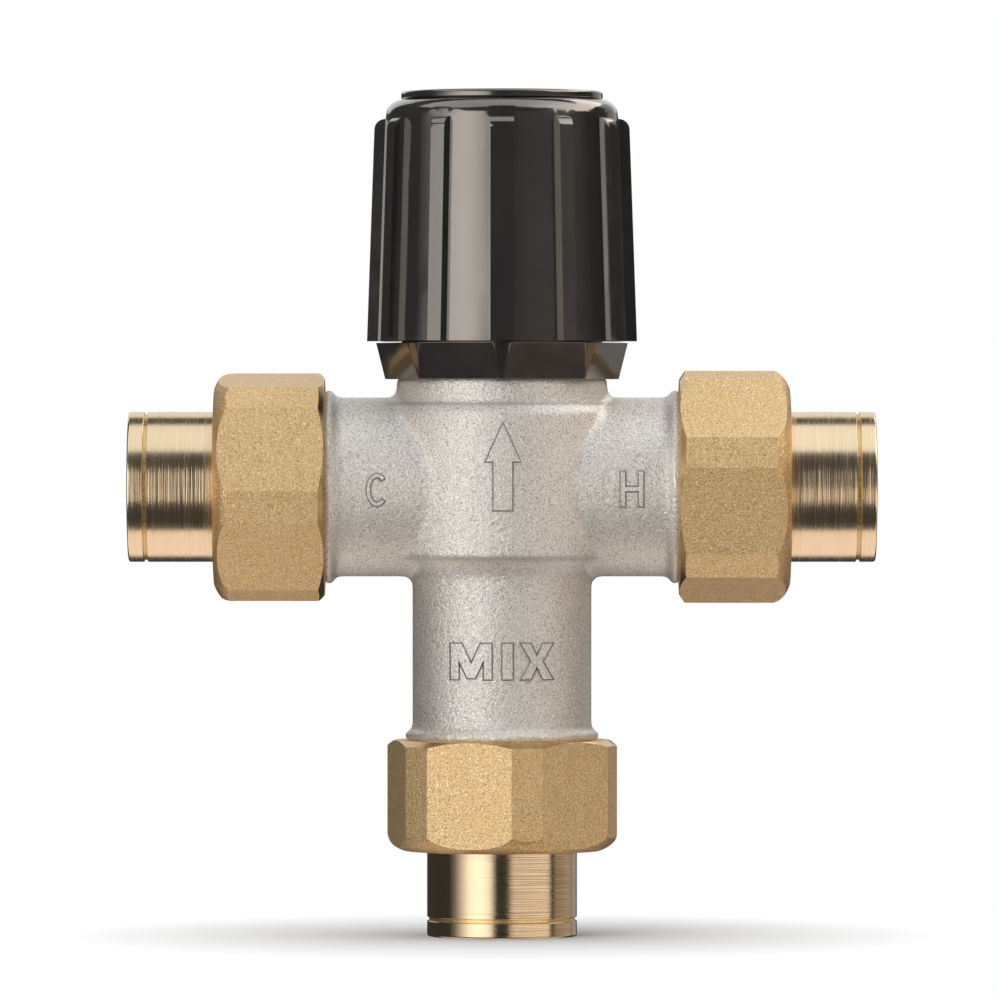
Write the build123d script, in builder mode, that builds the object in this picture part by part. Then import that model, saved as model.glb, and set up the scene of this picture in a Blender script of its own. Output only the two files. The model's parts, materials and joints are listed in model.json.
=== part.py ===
from build123d import *
import os
from math import cos, degrees, pi, radians, tan

# Thermostatic mixing valve with three union connections.
#
# A cast tee body takes cold water on the left (-X), hot water on the right (+X) and gives mixed
# water at the bottom (-Z).  A knob on top turns a screw spindle, which pushes a keyed plunger down
# on a wax element.  The element carries a sliding shuttle: as the wax swells, the shuttle sinks,
# opens the cold gap above it and closes the hot gap below it.  Each port ends in a flat-faced union:
# a nut, a washer and a tailpiece with a socket for a copper tube.
#
# The origin is the middle of the mix tailpiece's open end, on which the valve stands.  +Z is up and
# the marked side of the body faces -Y.  Heights called "level" are measured from the point where
# the three port axes cross.

# ---------------------------------------------------------------- driving dimensions, millimetres

# Running clearances
slide_gap = 0.05                # radial, between a turned part and the bore that guides it
seat_gap = 0.02                 # between faces that rest on one another in different bodies

# Union: tailpiece, washer and nut, the same at all three ports
tube_socket_radius = 11.175     # takes a copper tube of 22.2 mm outside
tube_socket_depth = 19.0
tube_stop_radius = 9.75         # waterway behind the socket
tail_radius = 12.85
tail_length = 22.2              # from the washer face to the open end
tail_flange_radius = 14.9
tail_flange_thickness = 3.0
tail_root_round = 0.6
tail_groove_from_end = 3.0
tail_groove_width = 0.6
tail_groove_depth = 0.35
tail_end_chamfer = 0.4
washer_thickness = 2.0
washer_radius = 14.7
thread_radius = 15.9            # pitch radius of the union thread, drawn plain
thread_gap = 0.08
nut_across_flats = 37.0
nut_across_corners = 39.6       # the hexagon's corners are cut flat to this size
nut_edge_round = 0.7
nut_grip = 9.4                  # length of thread inside the nut
nut_lip = 4.5                   # inward lip that pulls on the tailpiece flange
nut_lip_gap = 0.2
nut_mouth_chamfer = 0.7         # inside the lip, clear of the tailpiece's root
nut_crown_length = 3.1          # rounded outer end
nut_crown_land = 16.9
nut_chamfer_length = 1.5        # flatter chamfer at the inner end

# Body casting
inlet_reach = 39.8              # from the port axes' crossing to an inlet's face
outlet_reach = 52.8             # from the crossing to the mix port's face
barrel_radius = 15.35
port_shoulder_step = 1.25        # out from the barrel
port_shoulder_width = 0.9
port_shoulder_round = 1.4
port_shoulder_gap = 0.4         # between the shoulder and the nut's inner end
drum_radius = 19.3
drum_top_drop = 0.95            # of the drum's top below the tops of the inlet barrels
skirt_clearance = 0.7           # from the bottoms of the inlet barrels to the skirt's foot
drum_shoulder_height = 1.5
drum_shoulder_round = 1.5       # where the shoulder meets the drum and the neck
skirt_edge_round = 0.8          # where the drum meets its skirt
neck_radius = 18.05
neck_clearance = 2.95           # from the tops of the inlet barrels to the neck's step
neck_spigot_radius = 17.4       # inside the collar
collar_foot_gap = 0.2           # under the collar, above the neck's step
neck_bore_radius = 15.2
branch_round = 1.5              # fillet where an inlet barrel meets the drum
port_face_chamfer = 0.8

# Mixing chamber inside the body
gallery_radius = 15.0
land_height = 3.5               # wall between the cold and the hot gallery
seat_level = 9.5                # cold seat above the axes and hot seat below them
port_hole_radius = 9.3
port_hole_end = 17.0            # distance of the inlet holes' inner end from the middle
window_width = 16.0
window_margin = 0.7             # wall left above and below a gallery window
well_radius = 9.5               # bore below the hot seat
well_depth = 10.5
spring_pocket_radius = 7.9
spring_seat_level = -28.0
spring_seat_thickness = 3.0
spring_seat_hole_radius = 6.2
outlet_radius = 11.5

# Collar and knob
collar_height = 6.2
collar_lip = 1.0                # rests on the neck, under the bonnet's flange
collar_facets = 8
collar_foot_radius = 20.07      # over the corners of the octagon at its foot
collar_head_radius = 21.6
collar_bore_gap = 0.1
collar_corner_trim = 0.03       # keeps the cone inside the octagon's corners at the foot
collar_flare = 1.93             # how much further out the flats stand at the head
knob_gap = 0.3
knob_height = 41.4
knob_foot_radius = 21.33
knob_draft = 1.95               # degrees
knob_shoulder_round = 3.1
knob_wall = 2.2
knob_roof = 3.0
knob_ribs = 12
rib_height = 1.82
rib_foot_width = 4.3
rib_face_width = 2.1
rib_end_round = 1.8
rib_top_below_roof = 2.6
hub_radius = 8.0
hub_length = 16.0               # down from the knob's top
hub_webs = 6
web_thickness = 1.4
web_start_angle = 15.0
screw_head_radius = 3.4
screw_head_height = 2.2
screw_radius = 1.6
screw_length = 12.0
screw_recess_radius = 4.2
screw_recess_depth = 4.4
screw_tap_margin = 1.0          # of the tapped hole past the screw
screw_gap = 0.15
screw_socket = 2.5              # hexagon key, across flats
cap_radius = 17.3
cap_thickness = 1.45
cap_edge_round = 0.6
cap_plug_radius = 4.1
cap_plug_length = 1.6

# Bonnet, spindle and plunger
bonnet_nose_height = 5.7
bonnet_flange_radius = 17.2
bonnet_flange_thickness = 2.0
bonnet_hexagon = 27.0           # across flats
bonnet_hexagon_height = 5.0
bonnet_tower_radius = 11.6
bonnet_tower_height = 21.0      # above the flange
bonnet_roof = 5.6
plunger_radius = 8.5
plunger_length = 21.5
plunger_hang = 13.2             # of its open end below the bonnet's seat, at mid setting
plunger_cup_radius = 7.3
plunger_cup_depth = 13.0
plunger_key_width = 2.8
plunger_key_height = 0.9
plunger_key_length = 9.0
keyway_margin = 0.5             # of the bonnet's keyways past the keys' highest place
plunger_travel = 1.125          # each way, from a left-hand 3 mm lead and 135 degrees each way
spindle_radius = 5.0
spindle_collar_radius = 7.9
spindle_collar_height = 3.0
spindle_thread_length = 16.6
spline_radius = 4.6
spline_root_radius = 4.0
spline_teeth = 12
spline_tooth_width = 1.1
spline_length = 10.4
spindle_thread_radius = 4.6
spindle_groove_depth = 0.5      # for the circlip
spindle_end_chamfer = 0.6
circlip_radius = 7.2
circlip_thickness = 1.0
circlip_lug_radius = 1.3
circlip_opening = 50.0          # degrees

# Wax element and shuttle
element_radius = 4.75
element_length = 28.0           # of the capsule below the flange
element_flange_radius = 7.4
element_flange_thickness = 2.5
element_neck_radius = 3.6
element_neck_length = 4.0
element_stroke = 1.0            # each way, from mid temperature
capsule_end_round = 1.5
piston_radius = 1.6
piston_chamfer = 0.3
piston_floor_gap = 0.5          # left under the piston at the end of its stroke
piston_depth = 5.0              # how far the piston runs down below the shuttle hub's top
shuttle_radius = 11.0
shuttle_bore_radius = 9.0
shuttle_hub_radius = 5.4
shuttle_hub_height = 4.0
shuttle_spokes = 4
shuttle_spoke_width = 2.4
shuttle_bevel = 0.8
shuttle_seat_gap = 2.2          # open gap at each seat in the middle position
thrust_cap_radius = 7.15
thrust_cap_thickness = 2.9
thrust_pocket_depth = 1.5       # for the piston's tip
thrust_clip_thickness = 0.8
thrust_clip_inner_radius = 5.9
thrust_clip_groove = 0.45
thrust_clip_margin = 0.4

# Springs: (coil radius, wire radius, turns)
return_spring = (6.7, 0.8, 7)
overtravel_spring = (6.2, 0.75, 4.5)
check_spring = (3.2, 0.3, 5)

# O-rings: section radius of each when squeezed in its groove, and the groove's side play
ring_play = 0.12
bonnet_ring_radius = 0.9
spindle_ring_radius = 0.65
shuttle_ring_radius = 0.55
check_ring_radius = 0.6

# Check valve cartridge in each inlet, measured inwards from the port face
check_radius = 10.3
check_length = 14.0
check_flange_radius = 11.6
check_flange_thickness = 1.2
check_mouth_radius = 8.4
check_seat_radius = 6.4
check_seat_depth = 4.0
check_bore_radius = 9.1
check_hub_radius = 3.8
check_hub_height = 2.2
check_spokes = 3
check_spoke_width = 1.6
poppet_radius = 7.6
poppet_thickness = 1.5
poppet_nose = 1.6
poppet_nose_radius = 5.6
poppet_stem_radius = 1.25
poppet_stem_overhang = 0.5      # of the stem past the cartridge's inner end
strainer_thickness = 0.5
strainer_radius = 8.2           # of the dome
strainer_dome = 2.4
strainer_rim = 1.5
strainer_hole_radius = 0.85
strainer_circles = 2
strainer_pitch = 3.0

# ---------------------------------------------------------------- levels worked out from the above

centre_level = outlet_reach + washer_thickness + tail_length    # height of the port axes
nut_length = nut_grip + washer_thickness + tail_flange_thickness + seat_gap + nut_lip
port_shoulder_radius = barrel_radius + port_shoulder_step
drum_top = barrel_radius - drum_top_drop
skirt_foot = -barrel_radius - skirt_clearance
drum_bottom = skirt_foot + drum_radius - barrel_radius
neck_step = barrel_radius + neck_clearance
collar_bottom = neck_step + collar_foot_gap
neck_top = collar_bottom + collar_height - collar_lip
bonnet_seat = neck_top + collar_lip
bonnet_top = bonnet_seat + bonnet_flange_thickness + bonnet_tower_height
plunger_bore_radius = plunger_radius + slide_gap
plunger_start = bonnet_seat - plunger_hang
plunger_end = plunger_start + plunger_length
cup_floor = plunger_start + plunger_cup_depth
spindle_collar_top = bonnet_top - bonnet_roof - seat_gap
circlip_level = bonnet_top + seat_gap
spline_start = circlip_level + circlip_thickness + seat_gap
spindle_top = spline_start + spline_length
knob_foot = collar_bottom + collar_height + knob_gap
knob_top = knob_foot + knob_height
screw_seat = knob_top - screw_recess_depth
land_bore_radius = shuttle_radius + 2 * slide_gap
shuttle_half = seat_level - shuttle_seat_gap
hub_top = shuttle_hub_height / 2
thrust_cap_level = plunger_start + thrust_clip_margin + thrust_clip_thickness + seat_gap
piston_tip = thrust_cap_level + thrust_pocket_depth - seat_gap
check_bore_in_body = check_radius + slide_gap
check_groove_radius = check_bore_in_body - 2 * (check_ring_radius + seat_gap)

centre = Vector(0, 0, centre_level)
section = Plane(centre, x_dir=(1, 0, 0), z_dir=(0, -1, 0))      # draws (radius, level) outlines


def at_level(level):
    """A horizontal plane at a level above the port axes."""
    return Plane.XY.offset(centre_level + level)


class Port:
    """One of the three ports: its outward direction and the planes that its pieces are drawn on."""

    def __init__(self, name, outward, radial, reach, nut_turn):
        outward, radial = Vector(outward), Vector(radial)
        self.name = name
        self.reach = reach
        self.nut_turn = nut_turn
        self.axis = Axis(centre, outward)
        self.face = Plane(centre, x_dir=radial, z_dir=outward)
        self.section = Plane(centre, x_dir=radial, z_dir=radial.cross(outward))


ports = [
    Port("cold", (-1, 0, 0), (0, 0, 1), inlet_reach, 20.5),
    Port("hot", (1, 0, 0), (0, 0, 1), inlet_reach, 12.4),
    Port("mix", (0, 0, -1), (0, 1, 0), outlet_reach, 47.5),
]
inlets = ports[:2]

os.makedirs("parts", exist_ok=True)


def keep(piece, label):
    """Labels a finished piece and writes it as parts/<label>.step."""
    piece.label = label
    export_step(piece, f"parts/{label}.step")


def ring_section(groove_radius, section_radius, level):
    """Draws an O-ring's section, lying on its groove's floor."""
    with Locations((groove_radius + section_radius + seat_gap, level)):
        Circle(section_radius)


def groove_section(groove_radius, outer_radius, section_radius, level):
    """Cuts an outer groove for an O-ring of that section out of the outline being drawn."""
    with Locations((groove_radius, level)):
        Rectangle(
            2 * (outer_radius - groove_radius),
            2 * (section_radius + ring_play),
            align=(Align.MIN, Align.CENTER),
            mode=Mode.SUBTRACT,
        )


def coil(spring, base, length):
    """A helical spring standing on a plane and filling a length, as a part."""
    coil_radius, wire_radius, turns = spring
    height = length - 2 * (wire_radius + seat_gap)
    with BuildPart() as wound:
        with BuildLine(Plane.XY.offset(wire_radius + seat_gap)) as path:
            Helix(pitch=height / turns, height=height, radius=coil_radius)
        with BuildSketch(Plane(path.line @ 0, x_dir=(1, 0, 0), z_dir=path.line % 0)):
            Circle(wire_radius)
        sweep()
    return wound.part.moved(base.location)


def dome_radius(half_width, height):
    """Radius of the sphere whose cap has that half width and height."""
    return (half_width**2 + height**2) / (2 * height)


# ---------------------------------------------------------------- body casting


def barrel_outline(port):
    """Half the length section of a port: barrel, shoulder and thread, out from the middle."""
    shoulder_end = port.reach - nut_grip - port_shoulder_gap
    shoulder_start = shoulder_end - port_shoulder_width
    with BuildSketch(port.section) as outline:
        with BuildLine():
            Polyline((0, 0), (barrel_radius, 0), (barrel_radius, shoulder_start - port_shoulder_round))
            TangentArc(
                (barrel_radius, shoulder_start - port_shoulder_round),
                (port_shoulder_radius, shoulder_start),
                tangent=(0, 1),
            )
            Polyline(
                (port_shoulder_radius, shoulder_start),
                (port_shoulder_radius, shoulder_end),
                (thread_radius, shoulder_end),
                (thread_radius, port.reach - port_face_chamfer),
                (thread_radius - port_face_chamfer, port.reach),
                (0, port.reach),
                (0, 0),
            )
        make_face()
    return outline.sketch


with BuildPart() as valve_body:
    # Drum and neck, turned about the vertical axis, and a hollow round down to the mix barrel
    shoulder_foot = drum_top - drum_shoulder_height
    with BuildSketch(section) as drum_outline:
        with BuildLine():
            TangentArc((barrel_radius, skirt_foot), (drum_radius, drum_bottom), tangent=(0, 1))
            Polyline(
                (drum_radius, drum_bottom),
                (drum_radius, shoulder_foot),
                (neck_radius, drum_top),
                (neck_radius, neck_step),
                (neck_spigot_radius, neck_step),
                (neck_spigot_radius, neck_top),
                (0, neck_top),
                (0, skirt_foot),
                (barrel_radius, skirt_foot),
            )
        make_face()
        fillet(
            drum_outline.vertices().filter_by_position(Axis.Y, shoulder_foot, drum_top),
            drum_shoulder_round,
        )
        fillet(
            drum_outline.vertices().filter_by_position(Axis.Y, drum_bottom, drum_bottom),
            skirt_edge_round,
        )
    revolve(axis=Axis.Z)
    for port in ports:
        revolve(barrel_outline(port), axis=port.axis)
    fillet(valve_body.edges().filter_by(GeomType.BSPLINE), branch_round)

    # Neck bore, galleries with the land between them, mixing well, spring pocket and outlet
    with BuildSketch(section):
        with BuildLine():
            Polyline(
                (0, neck_top),
                (neck_bore_radius, neck_top),
                (neck_bore_radius, seat_level),
                (gallery_radius, seat_level),
                (gallery_radius, land_height / 2),
                (land_bore_radius, land_height / 2),
                (land_bore_radius, -land_height / 2),
                (gallery_radius, -land_height / 2),
                (gallery_radius, -seat_level),
                (well_radius, -seat_level),
                (well_radius, -seat_level - well_depth),
                (spring_pocket_radius, -seat_level - well_depth),
                (spring_pocket_radius, spring_seat_level),
                (spring_seat_hole_radius, spring_seat_level),
                (spring_seat_hole_radius, spring_seat_level - spring_seat_thickness),
                (outlet_radius, spring_seat_level - spring_seat_thickness),
                (outlet_radius, -outlet_reach),
                (0, -outlet_reach),
                (0, neck_top),
            )
        make_face()
        with Locations((shuttle_radius + seat_gap, 0)):
            Rectangle(
                2 * (shuttle_ring_radius + seat_gap),
                2 * (shuttle_ring_radius + ring_play),
                align=(Align.MIN, Align.CENTER),
            )
    revolve(axis=Axis.Z, mode=Mode.SUBTRACT)

    # Inlets: a stepped bore for the check cartridge, a hole and a window into one gallery each
    gallery_middle = (seat_level + land_height / 2) / 2
    gallery_height = seat_level - land_height / 2
    for port, side in zip(inlets, (1, -1)):
        with BuildSketch(port.section):
            with BuildLine():
                Polyline(
                    (0, port_hole_end),
                    (port_hole_radius, port_hole_end),
                    (port_hole_radius, port.reach - check_length - seat_gap),
                    (check_bore_in_body, port.reach - check_length - seat_gap),
                    (check_bore_in_body, port.reach - check_flange_thickness - seat_gap),
                    (check_flange_radius + slide_gap, port.reach - check_flange_thickness - seat_gap),
                    (check_flange_radius + slide_gap, port.reach),
                    (0, port.reach),
                    (0, port_hole_end),
                )
            make_face()
        revolve(axis=port.axis, mode=Mode.SUBTRACT)
        with BuildSketch(port.face.offset(port_hole_end)):
            Circle(port_hole_radius)
            with Locations((side * gallery_middle, 0)):
                Rectangle(gallery_height - 2 * window_margin, window_width, mode=Mode.INTERSECT)
        extrude(amount=land_bore_radius - port_hole_end, mode=Mode.SUBTRACT)
keep(valve_body.part, "valve_body")

# ---------------------------------------------------------------- unions


def union_nut(port):
    """A hexagon nut with cut corners, a crowned outer end and a lip over the tailpiece's flange."""
    inner = port.reach - nut_grip
    outer = inner + nut_length
    lip = outer - nut_lip
    corner = nut_across_corners / 2 + 1
    flat = nut_across_flats / 2
    lip_radius = tail_radius + nut_lip_gap
    with BuildPart() as nut:
        with BuildSketch(port.face.offset(inner)):
            RegularPolygon(flat, 6, major_radius=False, rotation=port.nut_turn)
            RegularPolygon(
                nut_across_corners / 2,
                6,
                major_radius=False,
                rotation=port.nut_turn + 30,
                mode=Mode.INTERSECT,
            )
        extrude(amount=nut_length)
        fillet(nut.edges().filter_by(port.axis), nut_edge_round)
        with BuildSketch(port.section):
            with BuildLine():
                TangentArc((corner, outer - nut_crown_length), (nut_crown_land, outer), tangent=(0, 1))
                Polyline(
                    (nut_crown_land, outer),
                    (0, outer),
                    (0, inner),
                    (flat, inner),
                    (corner, inner + nut_chamfer_length),
                    (corner, outer - nut_crown_length),
                )
            make_face()
        revolve(axis=port.axis, mode=Mode.INTERSECT)
        with BuildSketch(port.section):
            with BuildLine():
                Polyline(
                    (0, inner),
                    (thread_radius + thread_gap, inner),
                    (thread_radius + thread_gap, lip),
                    (lip_radius + nut_mouth_chamfer, lip),
                    (lip_radius, lip + nut_mouth_chamfer),
                    (lip_radius, outer),
                    (0, outer),
                    (0, inner),
                )
            make_face()
        revolve(axis=port.axis, mode=Mode.SUBTRACT)
    return nut


def tailpiece(port):
    """A turned tailpiece: flange, plain barrel with a witness groove, and a socket for the tube."""
    face = port.reach + washer_thickness
    flange = face + tail_flange_thickness
    end = face + tail_length
    groove = end - tail_groove_from_end
    with BuildPart() as tail:
        with BuildSketch(port.section):
            with BuildLine():
                Polyline(
                    (tube_stop_radius, face),
                    (tail_flange_radius, face),
                    (tail_flange_radius, flange),
                    (tail_radius + tail_root_round, flange),
                )
                TangentArc(
                    (tail_radius + tail_root_round, flange),
                    (tail_radius, flange + tail_root_round),
                    tangent=(-1, 0),
                )
                Polyline(
                    (tail_radius, flange + tail_root_round),
                    (tail_radius, end - tail_end_chamfer),
                    (tail_radius - tail_end_chamfer, end),
                    (tube_socket_radius + tail_end_chamfer, end),
                    (tube_socket_radius, end - tail_end_chamfer),
                    (tube_socket_radius, end - tube_socket_depth),
                    (tube_stop_radius, end - tube_socket_depth),
                    (tube_stop_radius, face),
                )
            make_face()
            with Locations((tail_radius, groove)):
                Rectangle(2 * tail_groove_depth, tail_groove_width, mode=Mode.SUBTRACT)
        revolve(axis=port.axis)
    return tail


def washer(port):
    """The flat washer between the port's face and the tailpiece."""
    with BuildPart() as ring:
        with BuildSketch(port.face.offset(port.reach + seat_gap)):
            Circle(washer_radius)
            Circle(tube_stop_radius, mode=Mode.SUBTRACT)
        extrude(amount=washer_thickness - seat_gap)
    return ring


for port in ports:
    keep(union_nut(port).part, f"{port.name}_union_nut")
    keep(tailpiece(port).part, f"{port.name}_tailpiece")
    keep(washer(port).part, f"{port.name}_washer")

# ---------------------------------------------------------------- collar

with BuildPart() as knob_collar:
    # Octagonal skirt, a corner to the front, whose corners are cut by a cone
    foot_apothem = collar_foot_radius * cos(pi / collar_facets)
    head_plane = at_level(collar_bottom + collar_height)
    with BuildSketch(at_level(collar_bottom)):
        RegularPolygon(foot_apothem, collar_facets, major_radius=False)
    with BuildSketch(head_plane):
        RegularPolygon(foot_apothem + collar_flare, collar_facets, major_radius=False)
    loft()
    with BuildSketch(section):
        with BuildLine():
            Polyline(
                (neck_spigot_radius + collar_bore_gap, collar_bottom),
                (collar_foot_radius - collar_corner_trim, collar_bottom),
                (collar_head_radius, collar_bottom + collar_height),
                (neck_bore_radius + collar_bore_gap, collar_bottom + collar_height),
                (neck_bore_radius + collar_bore_gap, neck_top),
                (neck_spigot_radius + collar_bore_gap, neck_top),
                (neck_spigot_radius + collar_bore_gap, collar_bottom),
            )
        make_face()
    revolve(axis=Axis.Z, mode=Mode.INTERSECT)
keep(knob_collar.part, "knob_collar")

# ---------------------------------------------------------------- bonnet

with BuildPart() as bonnet:
    nose_top = seat_level + bonnet_nose_height
    hexagon_top = bonnet_seat + bonnet_flange_thickness + bonnet_hexagon_height
    ring_level = seat_level + bonnet_nose_height / 2
    bonnet_groove_radius = neck_bore_radius - 2 * (bonnet_ring_radius + seat_gap)
    with BuildSketch(section):
        with BuildLine():
            Polyline(
                (0, seat_level),
                (neck_bore_radius - slide_gap, seat_level),
                (neck_bore_radius - slide_gap, nose_top),
                (neck_bore_radius - thread_gap, nose_top),
                (neck_bore_radius - thread_gap, bonnet_seat),
                (bonnet_flange_radius, bonnet_seat),
                (bonnet_flange_radius, bonnet_seat + bonnet_flange_thickness),
                (bonnet_tower_radius, bonnet_seat + bonnet_flange_thickness),
                (bonnet_tower_radius, bonnet_top),
                (0, bonnet_top),
                (0, seat_level),
            )
        make_face()
        groove_section(bonnet_groove_radius, neck_bore_radius, bonnet_ring_radius, ring_level)
    revolve(axis=Axis.Z)
    with BuildSketch(at_level(bonnet_seat + bonnet_flange_thickness)):
        RegularPolygon(bonnet_hexagon / 2, 6, major_radius=False)
    extrude(amount=bonnet_hexagon_height)
    # Guide bore for the plunger, with two keyways, and the spindle's hole through the roof
    with BuildSketch(at_level(seat_level)):
        Circle(plunger_bore_radius)
    extrude(amount=bonnet_top - bonnet_roof - seat_level, mode=Mode.SUBTRACT)
    with BuildSketch(at_level(seat_level)):
        Rectangle(
            plunger_key_width + 2 * slide_gap,
            2 * (plunger_radius + plunger_key_height + slide_gap),
        )
    extrude(amount=plunger_end + plunger_travel + keyway_margin - seat_level, mode=Mode.SUBTRACT)
    with BuildSketch(at_level(bonnet_top)):
        Circle(spindle_radius + slide_gap)
    extrude(amount=-bonnet_roof, mode=Mode.SUBTRACT)
keep(bonnet.part, "bonnet")

with BuildPart() as bonnet_seal:
    with BuildSketch(section):
        ring_section(bonnet_groove_radius, bonnet_ring_radius, ring_level)
    revolve(axis=Axis.Z)
keep(bonnet_seal.part, "bonnet_seal")

# ---------------------------------------------------------------- spindle

spindle_groove_radius = spindle_radius - 2 * spindle_ring_radius
spindle_ring_levels = [bonnet_top - bonnet_roof * share for share in (0.3, 0.7)]


def spline_outline(plane, extra):
    """The spindle's splined section, grown by a clearance, as a sketch."""
    with BuildSketch(plane) as outline:
        Circle(spline_root_radius + extra)
        with PolarLocations(0, spline_teeth):
            Rectangle(
                spline_radius + extra,
                spline_tooth_width + 2 * extra,
                align=(Align.MIN, Align.CENTER),
            )
    return outline.sketch


with BuildPart() as spindle:
    circlip_groove_radius = spindle_radius - spindle_groove_depth
    thread_start = spindle_collar_top - spindle_collar_height
    spindle_thread_end = thread_start - spindle_thread_length
    with BuildSketch(section):
        with BuildLine():
            Polyline(
                (0, spindle_thread_end),
                (spindle_thread_radius - spindle_end_chamfer, spindle_thread_end),
                (spindle_thread_radius, spindle_thread_end + spindle_end_chamfer),
                (spindle_thread_radius, thread_start),
                (spindle_collar_radius, thread_start),
                (spindle_collar_radius, spindle_collar_top),
                (spindle_radius, spindle_collar_top),
                (spindle_radius, circlip_level),
                (circlip_groove_radius, circlip_level),
                (circlip_groove_radius, circlip_level + circlip_thickness),
                (spindle_radius, circlip_level + circlip_thickness),
                (spindle_radius, spline_start),
                (0, spline_start),
                (0, spindle_thread_end),
            )
        make_face()
        for level in spindle_ring_levels:
            groove_section(spindle_groove_radius, spindle_radius, spindle_ring_radius, level)
    revolve(axis=Axis.Z)
    extrude(spline_outline(at_level(spline_start), 0), amount=spline_length)
    with BuildSketch(at_level(screw_seat - screw_length - screw_tap_margin)):
        Circle(screw_radius + thread_gap)
    extrude(amount=spindle_top - screw_seat + screw_length + screw_tap_margin, mode=Mode.SUBTRACT)
keep(spindle.part, "spindle")

with BuildPart() as spindle_seals:
    with BuildSketch(section):
        for level in spindle_ring_levels:
            ring_section(spindle_groove_radius, spindle_ring_radius, level)
    revolve(axis=Axis.Z)
keep(spindle_seals.part, "spindle_seals")

with BuildPart() as spindle_circlip:
    # An open ring with a drilled lug each side of its gap
    lug_place = circlip_radius - circlip_lug_radius / 2
    gap_half = circlip_radius * 2 * tan(radians(circlip_opening / 2))
    lug_angle = circlip_opening / 2 + degrees(circlip_lug_radius / circlip_radius)
    with BuildSketch(at_level(circlip_level)):
        Circle(circlip_radius)
        Circle(circlip_groove_radius + seat_gap, mode=Mode.SUBTRACT)
        Polygon(
            (0, 0),
            (gap_half, -2 * circlip_radius),
            (-gap_half, -2 * circlip_radius),
            align=None,
            mode=Mode.SUBTRACT,
        )
        with PolarLocations(lug_place, 2, -90 - lug_angle, 2 * lug_angle, endpoint=True):
            Circle(circlip_lug_radius)
            Circle(circlip_lug_radius / 2, mode=Mode.SUBTRACT)
    extrude(amount=circlip_thickness)
keep(spindle_circlip.part, "spindle_circlip")

# ---------------------------------------------------------------- plunger and overtravel spring

with BuildPart() as adjuster_plunger:
    clip_level = plunger_start + thrust_clip_margin
    with BuildSketch(section):
        with BuildLine():
            Polyline(
                (plunger_cup_radius, plunger_start),
                (plunger_radius, plunger_start),
                (plunger_radius, plunger_end),
                (spindle_thread_radius + thread_gap, plunger_end),
                (spindle_thread_radius + thread_gap, cup_floor),
                (plunger_cup_radius, cup_floor),
                (plunger_cup_radius, plunger_start),
            )
        make_face()
        with Locations((plunger_cup_radius, clip_level)):
            Rectangle(
                2 * thrust_clip_groove,
                thrust_clip_thickness + seat_gap,
                align=(Align.CENTER, Align.MIN),
                mode=Mode.SUBTRACT,
            )
    revolve(axis=Axis.Z)
    # Two keys, which slide in the bonnet's keyways and keep the plunger from turning
    with BuildSketch(at_level(plunger_end)):
        Rectangle(plunger_key_width, 2 * (plunger_radius + plunger_key_height))
        Circle((plunger_radius + plunger_cup_radius) / 2, mode=Mode.SUBTRACT)
    extrude(amount=-plunger_key_length)
keep(adjuster_plunger.part, "adjuster_plunger")

with BuildPart() as thrust_clip:
    # Snap ring in the plunger's mouth
    with BuildSketch(at_level(clip_level)):
        Circle(plunger_cup_radius + thrust_clip_groove - seat_gap)
        Circle(thrust_clip_inner_radius, mode=Mode.SUBTRACT)
        with Locations((0, -plunger_cup_radius)):
            Rectangle(thrust_clip_inner_radius, plunger_cup_radius, mode=Mode.SUBTRACT)
    extrude(amount=thrust_clip_thickness)
keep(thrust_clip.part, "thrust_clip")

with BuildPart() as thrust_cap:
    # Disc with a pocket for the piston's tip
    with BuildSketch(section):
        with BuildLine():
            Polyline(
                (piston_radius + slide_gap, thrust_cap_level),
                (thrust_cap_radius, thrust_cap_level),
                (thrust_cap_radius, thrust_cap_level + thrust_cap_thickness),
                (0, thrust_cap_level + thrust_cap_thickness),
                (0, piston_tip + seat_gap),
                (piston_radius + slide_gap, piston_tip + seat_gap),
                (piston_radius + slide_gap, thrust_cap_level),
            )
        make_face()
    revolve(axis=Axis.Z)
keep(thrust_cap.part, "thrust_cap")

cap_top = thrust_cap_level + thrust_cap_thickness
keep(coil(overtravel_spring, at_level(cap_top), cup_floor - cap_top), "overtravel_spring")

# ---------------------------------------------------------------- wax element

with BuildPart() as element_piston:
    with BuildSketch(at_level(hub_top - piston_depth)):
        Circle(piston_radius)
    extrude(amount=piston_tip - hub_top + piston_depth)
    chamfer(element_piston.edges().filter_by(GeomType.CIRCLE), piston_chamfer)
keep(element_piston.part, "element_piston")

with BuildPart() as wax_element:
    element_flange_top = hub_top - element_neck_length
    element_flange_foot = element_flange_top - element_flange_thickness
    capsule_end = element_flange_foot - element_length
    with BuildSketch(section):
        with BuildLine():
            Polyline(
                (0, hub_top),
                (element_neck_radius, hub_top),
                (element_neck_radius, element_flange_top),
                (element_flange_radius, element_flange_top),
                (element_flange_radius, element_flange_foot),
                (element_radius, element_flange_foot),
                (element_radius, capsule_end + capsule_end_round),
            )
            TangentArc(
                (element_radius, capsule_end + capsule_end_round),
                (element_radius - capsule_end_round, capsule_end),
                tangent=(0, -1),
            )
            Polyline((element_radius - capsule_end_round, capsule_end), (0, capsule_end), (0, hub_top))
        make_face()
    revolve(axis=Axis.Z)
    with BuildSketch(at_level(hub_top)):
        Circle(piston_radius + slide_gap)
    extrude(amount=-(piston_depth + element_stroke + piston_floor_gap), mode=Mode.SUBTRACT)
keep(wax_element.part, "wax_element")

# ---------------------------------------------------------------- shuttle

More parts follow.
